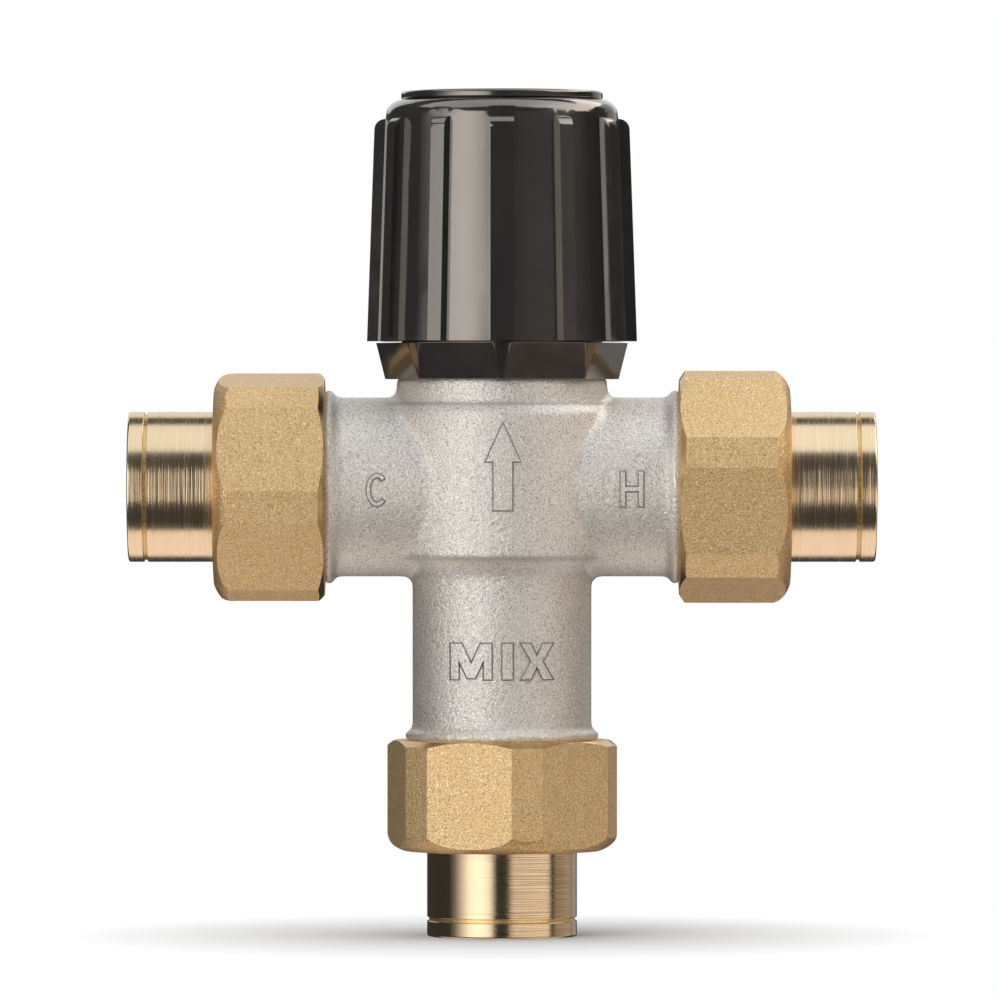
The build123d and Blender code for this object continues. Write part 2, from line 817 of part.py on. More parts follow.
with BuildPart() as mixing_shuttle:
    # A sleeve, bevelled inside towards both seats, with a hub on spokes for the wax element
    with BuildSketch(section):
        with BuildLine():
            Polyline(
                (shuttle_bore_radius, -shuttle_half + shuttle_bevel),
                (shuttle_bore_radius + shuttle_bevel, -shuttle_half),
                (shuttle_radius, -shuttle_half),
                (shuttle_radius, shuttle_half),
                (shuttle_bore_radius + shuttle_bevel, shuttle_half),
                (shuttle_bore_radius, shuttle_half - shuttle_bevel),
                (shuttle_bore_radius, -shuttle_half + shuttle_bevel),
            )
        make_face()
    revolve(axis=Axis.Z)
    with BuildSketch(at_level(-hub_top)):
        Circle(shuttle_hub_radius)
        with PolarLocations(0, shuttle_spokes):
            Rectangle(
                (shuttle_radius + shuttle_bore_radius) / 2,
                shuttle_spoke_width,
                align=(Align.MIN, Align.CENTER),
            )
        Circle(element_neck_radius + seat_gap, mode=Mode.SUBTRACT)
    extrude(amount=shuttle_hub_height)
keep(mixing_shuttle.part, "mixing_shuttle")

with BuildPart() as shuttle_seal:
    with BuildSketch(section):
        ring_section(shuttle_radius, shuttle_ring_radius, 0)
    revolve(axis=Axis.Z)
keep(shuttle_seal.part, "shuttle_seal")

keep(
    coil(return_spring, at_level(spring_seat_level), element_flange_foot - spring_seat_level),
    "return_spring",
)

# ---------------------------------------------------------------- knob

rib_top = knob_top - rib_top_below_roof
draft_slope = tan(radians(knob_draft))


def knob_radius(level, inset=0.0):
    """Radius of the knob's drafted wall at a level, less an inset."""
    return knob_foot_radius - (level - knob_foot) * draft_slope - inset


with BuildPart() as knob_rib:
    # One gripping rib at the front, leaning in with the wall
    with BuildSketch(at_level(knob_foot)):
        with BuildLine():
            Polyline(
                (-rib_foot_width / 2, -knob_foot_radius),
                (-rib_face_width / 2, -knob_foot_radius - rib_height),
                (rib_face_width / 2, -knob_foot_radius - rib_height),
                (rib_foot_width / 2, -knob_foot_radius),
                (rib_foot_width / 2, -knob_foot_radius + knob_wall),
                (-rib_foot_width / 2, -knob_foot_radius + knob_wall),
                (-rib_foot_width / 2, -knob_foot_radius),
            )
        make_face()
    extrude(amount=knob_height, dir=(0, draft_slope, 1))
    with BuildSketch(section):
        with BuildLine():
            Polyline(
                (0, knob_foot),
                (knob_radius(knob_foot, -rib_height - 1), knob_foot),
                (knob_radius(rib_top - rib_end_round, -rib_height - 1), rib_top - rib_end_round),
                (knob_radius(rib_top - rib_end_round, -rib_height), rib_top - rib_end_round),
            )
            TangentArc(
                (knob_radius(rib_top - rib_end_round, -rib_height), rib_top - rib_end_round),
                (knob_radius(rib_top, -rib_height + rib_end_round), rib_top),
                tangent=(0, 1),
            )
            Polyline(
                (knob_radius(rib_top, -rib_height + rib_end_round), rib_top),
                (0, rib_top),
                (0, knob_foot),
            )
        make_face()
    revolve(axis=Axis.Z, mode=Mode.INTERSECT)

with BuildPart() as temperature_knob:
    roof = knob_top - knob_roof
    hub_foot = knob_top - hub_length
    with BuildSketch(section) as knob_outline:
        with BuildLine():
            Polyline(
                (0, knob_foot),
                (knob_radius(knob_foot), knob_foot),
                (knob_radius(knob_top), knob_top),
                (0, knob_top),
                (0, knob_foot),
            )
        make_face()
        fillet(knob_outline.vertices().group_by(Axis.Y)[-1].sort_by(Axis.X)[-1], knob_shoulder_round)
    revolve(axis=Axis.Z)
    with PolarLocations(0, knob_ribs):
        add(knob_rib.part)
    # Hollow underneath, round a splined hub that hangs from the roof on webs
    with BuildSketch(section):
        with BuildLine():
            Polyline(
                (0, knob_foot),
                (knob_radius(knob_foot, knob_wall), knob_foot),
                (knob_radius(roof, knob_wall), roof),
                (hub_radius, roof),
                (hub_radius, hub_foot),
                (0, hub_foot),
                (0, knob_foot),
            )
        make_face()
    revolve(axis=Axis.Z, mode=Mode.SUBTRACT)
    with BuildSketch(at_level(hub_foot)):
        with PolarLocations(0, hub_webs, start_angle=web_start_angle):
            Rectangle(
                knob_radius(roof, knob_wall / 2),
                web_thickness,
                align=(Align.MIN, Align.CENTER),
            )
    extrude(amount=roof - hub_foot)
    extrude(
        spline_outline(at_level(hub_foot), slide_gap),
        amount=spindle_top + screw_gap - hub_foot,
        mode=Mode.SUBTRACT,
    )
    # Screw hole and its recess, under the cap
    with BuildSketch(at_level(knob_top)):
        Circle(screw_recess_radius)
    extrude(amount=-screw_recess_depth, mode=Mode.SUBTRACT)
    with BuildSketch(at_level(screw_seat)):
        Circle(screw_radius + screw_gap)
    extrude(amount=spindle_top - screw_seat, mode=Mode.SUBTRACT)
keep(temperature_knob.part, "temperature_knob")

with BuildPart() as knob_screw:
    with BuildSketch(at_level(screw_seat)):
        Circle(screw_head_radius)
    extrude(amount=screw_head_height)
    with BuildSketch(at_level(screw_seat)):
        Circle(screw_radius)
    extrude(amount=-screw_length)
    with BuildSketch(at_level(screw_seat + screw_head_height)):
        RegularPolygon(screw_socket / 2, 6, major_radius=False)
    extrude(amount=-screw_head_height / 2, mode=Mode.SUBTRACT)
keep(knob_screw.part, "knob_screw")

with BuildPart() as knob_cap:
    # A disc on the knob's top, with a plug that snaps into the screw recess
    with BuildSketch(section) as cap_outline:
        with BuildLine():
            Polyline(
                (0, knob_top - cap_plug_length),
                (cap_plug_radius, knob_top - cap_plug_length),
                (cap_plug_radius, knob_top),
                (cap_radius, knob_top),
                (cap_radius, knob_top + cap_thickness),
                (0, knob_top + cap_thickness),
                (0, knob_top - cap_plug_length),
            )
        make_face()
        fillet(cap_outline.vertices().group_by(Axis.Y)[-1].sort_by(Axis.X)[-1], cap_edge_round)
    revolve(axis=Axis.Z)
keep(knob_cap.part, "knob_cap")

# ---------------------------------------------------------------- check valves and strainers


def check_cage(port):
    """The cartridge's body: strainer recess, tapered mouth, seat, and a guide hub on spokes."""
    mouth = port.reach - strainer_rim
    seat = port.reach - check_seat_depth
    foot = port.reach - check_length
    with BuildPart() as cage:
        with BuildSketch(port.section):
            with BuildLine():
                Polyline(
                    (check_bore_radius, port.reach),
                    (check_flange_radius, port.reach),
                    (check_flange_radius, port.reach - check_flange_thickness),
                    (check_radius, port.reach - check_flange_thickness),
                    (check_radius, foot),
                    (check_bore_radius, foot),
                    (check_bore_radius, seat),
                    (check_seat_radius, seat),
                    (check_mouth_radius, mouth),
                    (check_bore_radius, mouth),
                    (check_bore_radius, port.reach),
                )
            make_face()
            groove_section(check_groove_radius, check_radius, check_ring_radius, (mouth + seat) / 2)
        revolve(axis=port.axis)
        with BuildSketch(port.face.offset(foot)):
            Circle(check_hub_radius)
            with PolarLocations(0, check_spokes):
                Rectangle(
                    (check_bore_radius + check_radius) / 2,
                    check_spoke_width,
                    align=(Align.MIN, Align.CENTER),
                )
            Circle(poppet_stem_radius + slide_gap, mode=Mode.SUBTRACT)
        extrude(amount=check_hub_height)
    return cage


def check_poppet(port):
    """A mushroom-shaped poppet that rests on the inner side of the seat."""
    seat = port.reach - check_seat_depth - seat_gap
    back = seat - poppet_thickness
    tip = port.reach - check_length - poppet_stem_overhang
    with BuildPart() as poppet:
        with BuildSketch(port.section):
            with BuildLine():
                Polyline(
                    (0, tip),
                    (poppet_stem_radius, tip),
                    (poppet_stem_radius, back),
                    (poppet_radius, back),
                    (poppet_radius, seat),
                    (poppet_nose_radius, seat),
                )
                RadiusArc(
                    (poppet_nose_radius, seat),
                    (0, seat + poppet_nose),
                    radius=-dome_radius(poppet_nose_radius, poppet_nose),
                )
                Line((0, seat + poppet_nose), (0, tip))
            make_face()
        revolve(axis=port.axis)
    return poppet


def check_seal(port):
    """The O-ring round the cartridge."""
    middle = port.reach - (strainer_rim + check_seat_depth) / 2
    with BuildPart() as seal:
        with BuildSketch(port.section):
            ring_section(check_groove_radius, check_ring_radius, middle)
        revolve(axis=port.axis)
    return seal


def inlet_strainer(port):
    """A domed, perforated disc whose rim presses into the cartridge's mouth."""
    with BuildPart() as strainer:
        with BuildSketch(port.section):
            with BuildLine():
                RadiusArc(
                    (strainer_radius, port.reach),
                    (0, port.reach + strainer_dome),
                    radius=-dome_radius(strainer_radius, strainer_dome),
                )
                Polyline(
                    (0, port.reach + strainer_dome),
                    (0, port.reach + strainer_dome + strainer_thickness),
                )
                RadiusArc(
                    (0, port.reach + strainer_dome + strainer_thickness),
                    (strainer_radius, port.reach + strainer_thickness),
                    radius=dome_radius(strainer_radius, strainer_dome),
                )
                Polyline(
                    (strainer_radius, port.reach + strainer_thickness),
                    (check_bore_radius - slide_gap, port.reach + strainer_thickness),
                    (check_bore_radius - slide_gap, port.reach - strainer_rim + seat_gap),
                    (strainer_radius, port.reach - strainer_rim + seat_gap),
                    (strainer_radius, port.reach),
                )
            make_face()
        revolve(axis=port.axis)
        with BuildSketch(port.face.offset(port.reach)):
            for circle in range(strainer_circles + 1):
                with PolarLocations(circle * strainer_pitch, max(1, 6 * circle)):
                    Circle(strainer_hole_radius)
        extrude(amount=strainer_dome + 2 * strainer_thickness, mode=Mode.SUBTRACT)
    return strainer


for port in inlets:
    foot = port.reach - check_length + check_hub_height
    spring_end = port.reach - check_seat_depth - seat_gap - poppet_thickness
    keep(check_cage(port).part, f"{port.name}_check_cage")
    keep(check_poppet(port).part, f"{port.name}_check_poppet")
    keep(check_seal(port).part, f"{port.name}_check_seal")
    keep(coil(check_spring, port.face.offset(foot), spring_end - foot), f"{port.name}_check_spring")
    keep(inlet_strainer(port).part, f"{port.name}_strainer")
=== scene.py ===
"""A mixing valve with three union connections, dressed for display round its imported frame."""

import json
import math

import bmesh
import bpy
from bpy.props import FloatProperty, FloatVectorProperty, IntProperty, PointerProperty
from mathutils import Matrix, Vector


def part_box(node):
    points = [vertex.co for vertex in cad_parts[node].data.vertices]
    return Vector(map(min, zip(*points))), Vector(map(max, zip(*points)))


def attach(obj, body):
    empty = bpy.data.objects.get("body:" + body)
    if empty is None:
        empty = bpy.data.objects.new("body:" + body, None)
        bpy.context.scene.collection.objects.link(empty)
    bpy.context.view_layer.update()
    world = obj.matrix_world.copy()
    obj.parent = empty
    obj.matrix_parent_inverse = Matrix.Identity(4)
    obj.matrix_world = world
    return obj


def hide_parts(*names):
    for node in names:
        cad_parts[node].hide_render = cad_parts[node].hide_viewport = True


bl_info = {
    "name": "Mixing valve",
    "version": (1, 0, 0),
    "blender": (4, 5, 0),
    "location": "View3D > Sidebar > Valve",
    "description": "Builds the pieces, finishes and stage of a mixing valve round its packed frame",
    "category": "Add Mesh",
}

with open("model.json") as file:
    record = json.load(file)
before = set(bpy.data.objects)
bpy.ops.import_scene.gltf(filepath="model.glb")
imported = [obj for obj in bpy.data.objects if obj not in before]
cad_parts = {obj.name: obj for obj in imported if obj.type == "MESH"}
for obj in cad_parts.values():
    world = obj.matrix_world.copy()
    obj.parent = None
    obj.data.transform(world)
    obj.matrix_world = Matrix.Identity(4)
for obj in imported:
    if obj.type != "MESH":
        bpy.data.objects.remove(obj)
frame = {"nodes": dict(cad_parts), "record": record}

MM = 0.001
# The first joint that has a place is the knob's, which lies where the port axes cross
AXIS_HEIGHT = next(j["pos_m"][2] for j in frame["record"]["behaviour"]["joints"] if "pos_m" in j)
CENTRE = Vector((0, 0, AXIS_HEIGHT))
PORTS = {  # outward direction and the turn of the nut's corners about it, in degrees
    "cold": (Vector((-1, 0, 0)), 20.5),
    "hot": (Vector((1, 0, 0)), 12.4),
    "mix": (Vector((0, 0, -1)), 47.5),
}


# ------------------------------------------------------------------ sizes and colours


def length(name, description, default):
    """A length property, given in millimetres."""
    return FloatProperty(
        name=name, description=description, default=default * MM, unit="LENGTH", min=0
    )


def angle(name, description, default):
    """An angle property, given in degrees."""
    return FloatProperty(
        name=name, description=description, default=math.radians(default), subtype="ANGLE"
    )


def colour(name, description, default):
    """A linear colour property."""
    return FloatVectorProperty(
        name=name, description=description, default=default, size=3, min=0, max=1, subtype="COLOR"
    )


def share(name, description, default):
    """A property between 0 and 1."""
    return FloatProperty(
        name=name, description=description, default=default, min=0, max=1, subtype="FACTOR"
    )


class ValveBody(bpy.types.PropertyGroup):
    """The plated casting and the marks raised on it."""

    skin_step: length("Skin step", "Mesh step of the cast skin", 0.5)
    soften: IntProperty(
        name="Soften", description="Rounds of softening of the cast edges", default=5
    )
    plating: colour("Plating", "Colour of the matt plating", (1.0, 0.94, 0.87))
    plating_roughness: share("Plating roughness", "Roughness of the blasted casting", 0.37)
    barrel: length("Barrel", "Radius of the three barrels", 15.35)
    # The lines round the drum are painted shade, darker bands in the plating's colour.
    crease: length("Crease", "Half the width of the darkened lines round the drum", 0.5)
    crease_reach: length("Crease reach", "Radius within which the drum's lines show", 20.5)
    shoulder_crease: length("Shoulder crease", "Height of the line at the neck's foot", 91.3)
    skirt_crease: length("Skirt crease", "Height of the line over the drum's skirt", 65.1)
    mark_relief: length("Mark relief", "How far the marks stand out", 0.4)
    mark_rim: length("Mark rim", "Width of the sloped rim of the marks", 0.3)
    mark_sink: length("Mark sink", "How far the rim's foot lies under the skin", 0.08)
    mark_step: length("Mark step", "Step in which a mark follows the curved casting", 0.5)


class UnionNut(bpy.types.PropertyGroup):
    """The three union nuts."""

    across_flats: length("Across flats", "Width between two flats", 37.0)
    across_corners: length("Across corners", "Width between two cut corners", 39.6)
    crown: length("Crown", "Length of the rounded outer end", 3.6)
    core: length("Core", "Radius from which the crown curves", 14.5)
    land: length("Land", "Radius of the flat ring at the outer end", 16.9)
    chamfer: length("Chamfer", "Length of the turned chamfer at the inner end", 1.5)
    bore: length("Bore", "Radius of the thread's bore", 15.98)
    mouth: length("Mouth", "Radius of the hole for the tailpiece", 13.05)
    lip: length("Lip", "Thickness of the lip round the mouth", 4.5)
    edge_round: length("Edge round", "Rounding of the edges", 0.45)
    brass: colour("Brass", "Colour of the blasted brass", (1.0, 0.67, 0.31))
    roughness: share("Roughness", "Roughness of the blasted brass", 0.34)


class Tailpiece(bpy.types.PropertyGroup):
    """The three turned tailpieces."""

    radius: length("Radius", "Outer radius", 12.85)
    flange: length("Flange", "Radius of the flange inside the nut", 14.9)
    flange_thickness: length("Flange thickness", "Thickness of the flange", 3.0)
    socket: length("Socket", "Radius of the tube socket", 11.175)
    socket_depth: length("Socket depth", "Depth of the tube socket", 19.0)
    waterway: length("Waterway", "Radius of the waterway behind the socket", 9.75)
    groove_from_end: length("Groove from end", "From the open end to the groove", 3.0)
    groove_width: length("Groove width", "Width of the groove", 0.6)
    groove_depth: length("Groove depth", "Depth of the groove", 0.35)
    edge_round: length("Edge round", "Rounding of the edges at the open end", 0.4)
    brass: colour("Brass", "Colour of the turned brass", (1.0, 0.78, 0.51))
    roughness: share("Roughness", "Roughness of the turned brass", 0.2)


class Knob(bpy.types.PropertyGroup):
    """The ribbed knob, its cap and the collar under it."""

    ribs: IntProperty(name="Ribs", description="Number of ribs", default=12)
    foot_radius: length("Foot radius", "Radius of the knob at its foot, between the ribs", 21.33)
    draft: angle("Draft", "Lean of the knob's side", 1.95)
    rib_end: length("Rib end", "Height of the ribs' rounded ends over the knob's foot", 36.9)
    rib_drop: length("Rib drop", "How far the ribs end below those of the frame", 0.7)
    rib_foot: length("Rib foot", "Width of a rib at its foot in the frame", 4.3)
    rib_face: length("Rib face", "Width of a rib's face in the frame", 2.1)
    rib_height: length("Rib height", "Height of a rib in the frame", 1.82)
    flank_foot: length("Flank foot", "Width of a rib between its steep flanks, at its foot", 2.8)
    flank_face: length("Flank face", "Width of a rib between its steep flanks, at its face", 2.6)
    pointer_foot: length("Pointer foot", "Width of the front rib at its foot", 4.3)
    pointer_face: length("Pointer face", "Width of the front rib at its face", 3.95)
    edge_round: length("Edge round", "Rounding of the ribs' edges", 0.25)
    cap_radius: length("Cap radius", "Radius of the cap", 17.3)
    cap_thickness: length("Cap thickness", "Thickness of the cap's disc", 1.45)
    cap_edge: length("Cap edge", "Rounding of the cap's rim", 0.6)
    plug_radius: length("Plug radius", "Radius of the plug under the cap", 4.1)
    collar_edge: length("Collar edge", "Rounding of the collar's facets", 0.3)
    plastic: colour("Plastic", "Colour of the moulded plastic", (0.012, 0.012, 0.0125))
    roughness: share("Roughness", "Roughness of the moulded plastic", 0.16)


class Stage(bpy.types.PropertyGroup):
    """Camera, floor and lights."""

    camera_distance: length("Camera distance", "From the valve to the camera", 1680)
    camera_height: length("Camera height", "Height of the camera", 89)
    lens: FloatProperty(name="Lens", description="Focal length in millimetres", default=352.5)
    shift_x: FloatProperty(name="Shift X", description="Sideways shift of the view", default=-0.002)
    shift_y: FloatProperty(name="Shift Y", description="Upward shift of the view", default=-0.083)
    ambient: share("Ambient", "Strength of the surrounding light on matt surfaces", 0.28)
    room: share("Room", "Brightness of the dark room in reflections", 0.045)
    paper: colour("Paper", "Colour of the floor", (0.5, 0.5, 0.5))


GROUPS = {
    "valve_body": ValveBody,
    "union_nut": UnionNut,
    "tailpiece": Tailpiece,
    "valve_knob": Knob,
    "valve_stage": Stage,
}


# ------------------------------------------------------------------ shader maths


class Wire:
    """A shader socket used in sums: each operator adds the Math node that it stands for."""

    def __init__(self, finish, socket):
        self.finish = finish
        self.socket = socket

    def maths(self, operation, *values):
        return self.finish.node("ShaderNodeMath", {"operation": operation}, dict(enumerate(values)))

    def __add__(self, other):
        return self.maths("ADD", self, other)

    def __sub__(self, other):
        return self.maths("SUBTRACT", self, other)

    def __mul__(self, other):
        return self.maths("MULTIPLY", self, other)

    def absolute(self):
        return self.maths("ABSOLUTE", self)


class Finish:
    """A node material, or the world's nodes, with one method for every kind of node."""

    def __init__(self, tree):
        self.tree = tree
        tree.nodes.clear()

    def node(self, kind, settings=None, inputs=None, output=0):
        """Adds a node, sets it up and fills its inputs with values or wires. Returns one output."""
        made = self.tree.nodes.new(kind)
        for name, value in (settings or {}).items():
            if name == "stops":
                for index, (place, tone) in enumerate(value):
                    ramp = made.color_ramp.elements
                    stop = ramp[index] if index < len(ramp) else ramp.new(place)
                    stop.position = place
                    stop.color = (*tone, 1)
            else:
                setattr(made, name, value)
        for name, value in (inputs or {}).items():
            socket = made.inputs[name]
            if isinstance(value, Wire):
                self.tree.links.new(value.socket, socket)
            elif hasattr(value, "__len__") and socket.type == "RGBA":
                socket.default_value = (*value, 1)
            else:
                socket.default_value = value
        return Wire(self, made.outputs[output]) if made.outputs else None

    def place(self, scale=(1, 1, 1)):
        """Object coordinates, scaled."""
        here = self.node("ShaderNodeTexCoord", output="Object")
        return self.node(
            "ShaderNodeMapping", {"vector_type": "POINT"}, {"Vector": here, "Scale": scale}
        )

    def noise(self, scale, detail=2.0, roughness=0.5, where=None):
        """Noise between 0 and 1, with its scale in cells per metre."""
        inputs = {"Scale": scale, "Detail": detail, "Roughness": roughness}
        inputs["Vector"] = where or self.place()
        return self.node("ShaderNodeTexNoise", {"noise_dimensions": "3D"}, inputs)

    def ramp(self, value, low, high, start=0.0, end=1.0):
        """Value carried from the range low..high to start..end, clamped."""
        return self.node(
            "ShaderNodeMapRange",
            {"clamp": True},
            {"Value": value, "From Min": low, "From Max": high, "To Min": start, "To Max": end},
        )

    def mix(self, factor, first, second):
        """A colour between two colours."""
        return self.node(
            "ShaderNodeMix",
            {"data_type": "RGBA", "clamp_factor": True},
            {0: factor, 6: first, 7: second},
            output=2,
        )

    def bump(self, height, distance, strength):
        """A normal bent by a height."""
        inputs = {"Height": height, "Distance": distance, "Strength": strength}
        return self.node("ShaderNodeBump", {}, inputs)

    def surface(self, **inputs):
        """The shader and the output, with inputs named as on the shader."""
        inputs = {name.replace("_", " "): value for name, value in inputs.items()}
        self.output(self.node("ShaderNodeBsdfPrincipled", {}, inputs))

    def output(self, shader):
        """The material's output, fed by a shader."""
        self.node("ShaderNodeOutputMaterial", {}, {"Surface": shader})


PAINTED = {}


def material(name, paint):
    """The material of that name, painted on first use."""
    if name not in PAINTED:
        PAINTED[name] = bpy.data.materials.new(name)
        PAINTED[name].use_nodes = True
        paint(Finish(PAINTED[name].node_tree))
    return PAINTED[name]


def darker(tone, factor):
    """A colour scaled in brightness."""
    return tuple(channel * factor for channel in tone)


# ------------------------------------------------------------------ finishes

CREASE_FADE = 2 * MM  # the drum's lines fade out over this much of their reach


def drum_crease_shade(finish):
    """Painted shade along the line where the neck leaves the drum, and along that over the drum's
    skirt.
    """
    look = bpy.context.scene.valve_body
    here = finish.node("ShaderNodeTexCoord", output="Object")
    side, depth, level = (
        finish.node("ShaderNodeSeparateXYZ", {}, {0: here}, output=part) for part in "XYZ"
    )
    wander = (finish.noise(1300) - 0.5) * look.crease
    lines = 0
    for height in (look.shoulder_crease, look.skirt_crease):
        lines = finish.ramp((level - height + wander).absolute(), look.crease, 0) + lines
    reach = look.crease_reach
    full = reach - CREASE_FADE
    return lines * finish.ramp(side * side + depth * depth, reach**2, full**2)


def blasted(finish, base, glint, cells, pit, speckle):
    """Tone, fine grain and coarse grain of a grit-blasted metal.

    The cells are noise scales in cells per metre, the pit is how dark the grain gets, and the
    speckle is how much the dark specks cover.
    """
    fine, rough, cloudy, specked, sparked = cells
    grain = finish.noise(fine, 2.0, 0.6)
    coarse = finish.noise(rough)
    speck = finish.ramp(finish.noise(specked, 1.0), 0.56, 0.66)
    spark = finish.ramp(finish.noise(sparked, 1.0), 0.58, 0.68)
    tone = finish.mix(finish.noise(cloudy), darker(base, 0.92), base)
    tone = finish.mix(finish.ramp(grain, 0.35, 0.65), darker(base, pit), tone)
    tone = finish.mix(speck * speckle, tone, darker(base, 0.32))
    tone = finish.mix(spark * 0.9, tone, glint)
    return tone, grain, coarse


def paint_casting(finish, shade=1.0):
    """Matt nickel over a grit-blasted casting: a fine grain, cloudy tones, and painted shade in its
    hollows and along two lines round the drum.
    """
    look = bpy.context.scene.valve_body
    plating = darker(look.plating, shade)
    glint = darker((1.0, 0.99, 0.96), shade)
    cells = (3400, 1300, 55, 3300, 3600)
    tone, grain, coarse = blasted(finish, plating, glint, cells, 0.68, 0.65)
    crease = finish.node("ShaderNodeNewGeometry", output="Pointiness")
    # painted shade: the casting is darkened where its surface curves inwards
    hollow_shade = finish.ramp(crease, 0.497, 0.46)
    tone = finish.mix(hollow_shade * 0.45, tone, darker(plating, 0.45))
    # painted shade: the plating darkened along the two lines round the drum
    tone = finish.mix(drum_crease_shade(finish) * 0.6, tone, darker(plating, 0.3))
    roughness = look.plating_roughness
    finish.surface(
        Base_Color=tone,
        Metallic=0.8,
        Roughness=finish.ramp(grain, 0.3, 0.7, roughness - 0.06, roughness + 0.1),
        Normal=finish.bump(grain * 0.5 + coarse * 0.5, 0.00035, 0.9),
    )


def paint_mark_edge_shade(finish):
    """The rims of the raised marks, darkened as painted shade along the marks' edges."""
    paint_casting(finish, 0.42)


def paint_blasted_brass(finish, shade=(1, 1, 1)):
    """Grit-blasted brass with a sparkling grain, darker by the given shade."""
    look = bpy.context.scene.union_nut
    brass = tuple(part * dim for part, dim in zip(look.brass, shade))
    cells = (3600, 1500, 70, 3400, 3800)
    tone, grain, coarse = blasted(finish, brass, (1.0, 0.9, 0.68), cells, 0.72, 0.6)
    finish.surface(
        Base_Color=tone,
        Metallic=0.8,
        Roughness=finish.ramp(grain, 0.3, 0.7, look.roughness - 0.06, look.roughness + 0.1),
        Normal=finish.bump(grain * 0.6 + coarse * 0.4, 0.0003, 0.8),
    )


def paint_crown_brass(finish):
    """The darker brass of the nuts' crowns."""
    paint_blasted_brass(finish, (0.82, 0.74, 0.62))


def paint_bright_brass(finish):
    """Smooth machined brass, for the nuts' turned chamfers."""
    brass = tuple(bpy.context.scene.union_nut.brass)
    clouds = finish.noise(300, 3.0)
    finish.surface(
        Base_Color=finish.mix(clouds, darker(brass, 0.72), (0.66, 0.46, 0.23)),
        Metallic=1.0,
        Roughness=finish.ramp(clouds, 0.3, 0.7, 0.16, 0.24),
    )


def paint_worn_and_highlit_brass(finish):
    """Rubbed brass along the edges of the nuts' crowns, lightened to a painted highlight."""
    grain = finish.noise(2400)
    finish.surface(
        Base_Color=finish.mix(grain, (1.0, 0.76, 0.42), (1.0, 0.9, 0.66)),
        Metallic=0.8,
        Roughness=finish.ramp(grain, 0.3, 0.7, 0.3, 0.42),
    )


def paint_turned_brass(finish, outward, brass, roughness, ring_depth):
    """Lathe-turned brass: fine rings round the axis, among wider bands."""
    ring_cells = tuple(9000 if abs(part) > 0.5 else 40 for part in outward)
    band_cells = tuple(1500 if abs(part) > 0.5 else 25 for part in outward)
    rings = finish.noise(1.0, 1.0, 0.5, finish.place(ring_cells))
    bands = finish.noise(1.0, 2.0, 0.5, finish.place(band_cells))
    clouds = finish.noise(140)
    tone = finish.mix(bands, darker(brass, 0.92), darker(brass, 1.06))
    tone = finish.mix(clouds * 0.25, tone, (brass[0], brass[1] * 0.9, brass[2] * 0.86))
    finish.surface(
        Base_Color=tone,
        Metallic=1.0,
        Roughness=finish.ramp(rings, 0.25, 0.75, roughness - 0.04, roughness + 0.08),
        Normal=finish.bump(rings, ring_depth, 1.0),
    )


def paint_groove(finish):
    """Brighter brass in the tailpieces' grooves."""
    grain = finish.noise(1500)
    finish.surface(
        Base_Color=finish.mix(grain, (0.72, 0.48, 0.18), (0.8, 0.62, 0.3)),
        Metallic=0.9,
        Roughness=finish.ramp(grain, 0.3, 0.7, 0.22, 0.34),
    )


def paint_plastic(finish, gloss=1.0):
    """Glossy black moulded plastic, with faint handling marks."""
    look = bpy.context.scene.valve_knob
    plastic = tuple(look.plastic)
    sink = finish.noise(120)
    dust = finish.ramp(finish.noise(1900), 0.68, 0.76)
    finish.surface(
        Base_Color=finish.mix(dust * 0.1, plastic, (0.05, 0.05, 0.048)),
        Roughness=finish.ramp(sink, 0.3, 0.7, look.roughness - 0.03, look.roughness + 0.05),
        IOR=1.75,
        Specular_IOR_Level=1.0,
        Specular_Tint=(1.0, 0.85, 0.7),
        Coat_Weight=gloss,
        Coat_IOR=1.8,
        Coat_Roughness=0.05,
        Normal=finish.bump(sink, 0.0003, 0.08),
    )


def paint_collar(finish):
    """The collar's plastic, less glossy than the knob's."""
    paint_plastic(finish, 0.35)


def paint_metal(tone, roughness, scale):
    """A painter for a plain machined metal of the inner pieces."""

    def paint(finish):
        grain = finish.noise(scale, 3.0)
        finish.surface(
            Base_Color=finish.mix(grain, darker(tone, 0.85), darker(tone, 1.1)),
            Metallic=1.0,
            Roughness=finish.ramp(grain, 0.3, 0.7, roughness - 0.05, roughness + 0.08),
            Normal=finish.bump(grain, 0.00002, 0.4),
        )

    return paint


def paint_moulded(tone, roughness, scale):
    """A painter for rubber or plain plastic of the inner pieces."""

    def paint(finish):
        grain = finish.noise(scale)
        finish.surface(
            Base_Color=finish.mix(grain, darker(tone, 0.85), darker(tone, 1.15)),
            Roughness=finish.ramp(grain, 0.3, 0.7, roughness - 0.05, roughness + 0.08),
            Normal=finish.bump(grain, 0.00003, 0.3),
        )

    return paint


INNER_FINISHES = {  # slot in the record: painter of the CAD nodes that stay as they are
    # The bonnet's brass is painted dark: painted shade where it shows through the gap under the
    # knob.
    "bonnet_brass": paint_metal((0.36, 0.24, 0.10), 0.42, 1400),
    "spindle_brass": paint_metal((0.74, 0.53, 0.25), 0.2, 2200),
    "spring_steel": paint_metal((0.55, 0.55, 0.54), 0.28, 2500),
    "piston_steel": paint_metal((0.62, 0.62, 0.61), 0.16, 2500),
    "screw_steel": paint_metal((0.50, 0.50, 0.50), 0.30, 2200),
    "strainer_steel": paint_metal((0.60, 0.60, 0.58), 0.34, 2600),
    "element_copper": paint_metal((0.78, 0.40, 0.26), 0.30, 1500),
    "seal_rubber": paint_moulded((0.018, 0.018, 0.02), 0.55, 1800),
    "washer_rubber": paint_moulded((0.022, 0.022, 0.022), 0.6, 1600),
    "shuttle_plastic": paint_moulded((0.05, 0.05, 0.055), 0.42, 1200),
    "check_plastic": paint_moulded((0.62, 0.60, 0.55), 0.4, 1200),
    "poppet_plastic": paint_moulded((0.16, 0.17, 0.19), 0.4, 1200),
}


# ------------------------------------------------------------------ mesh helpers

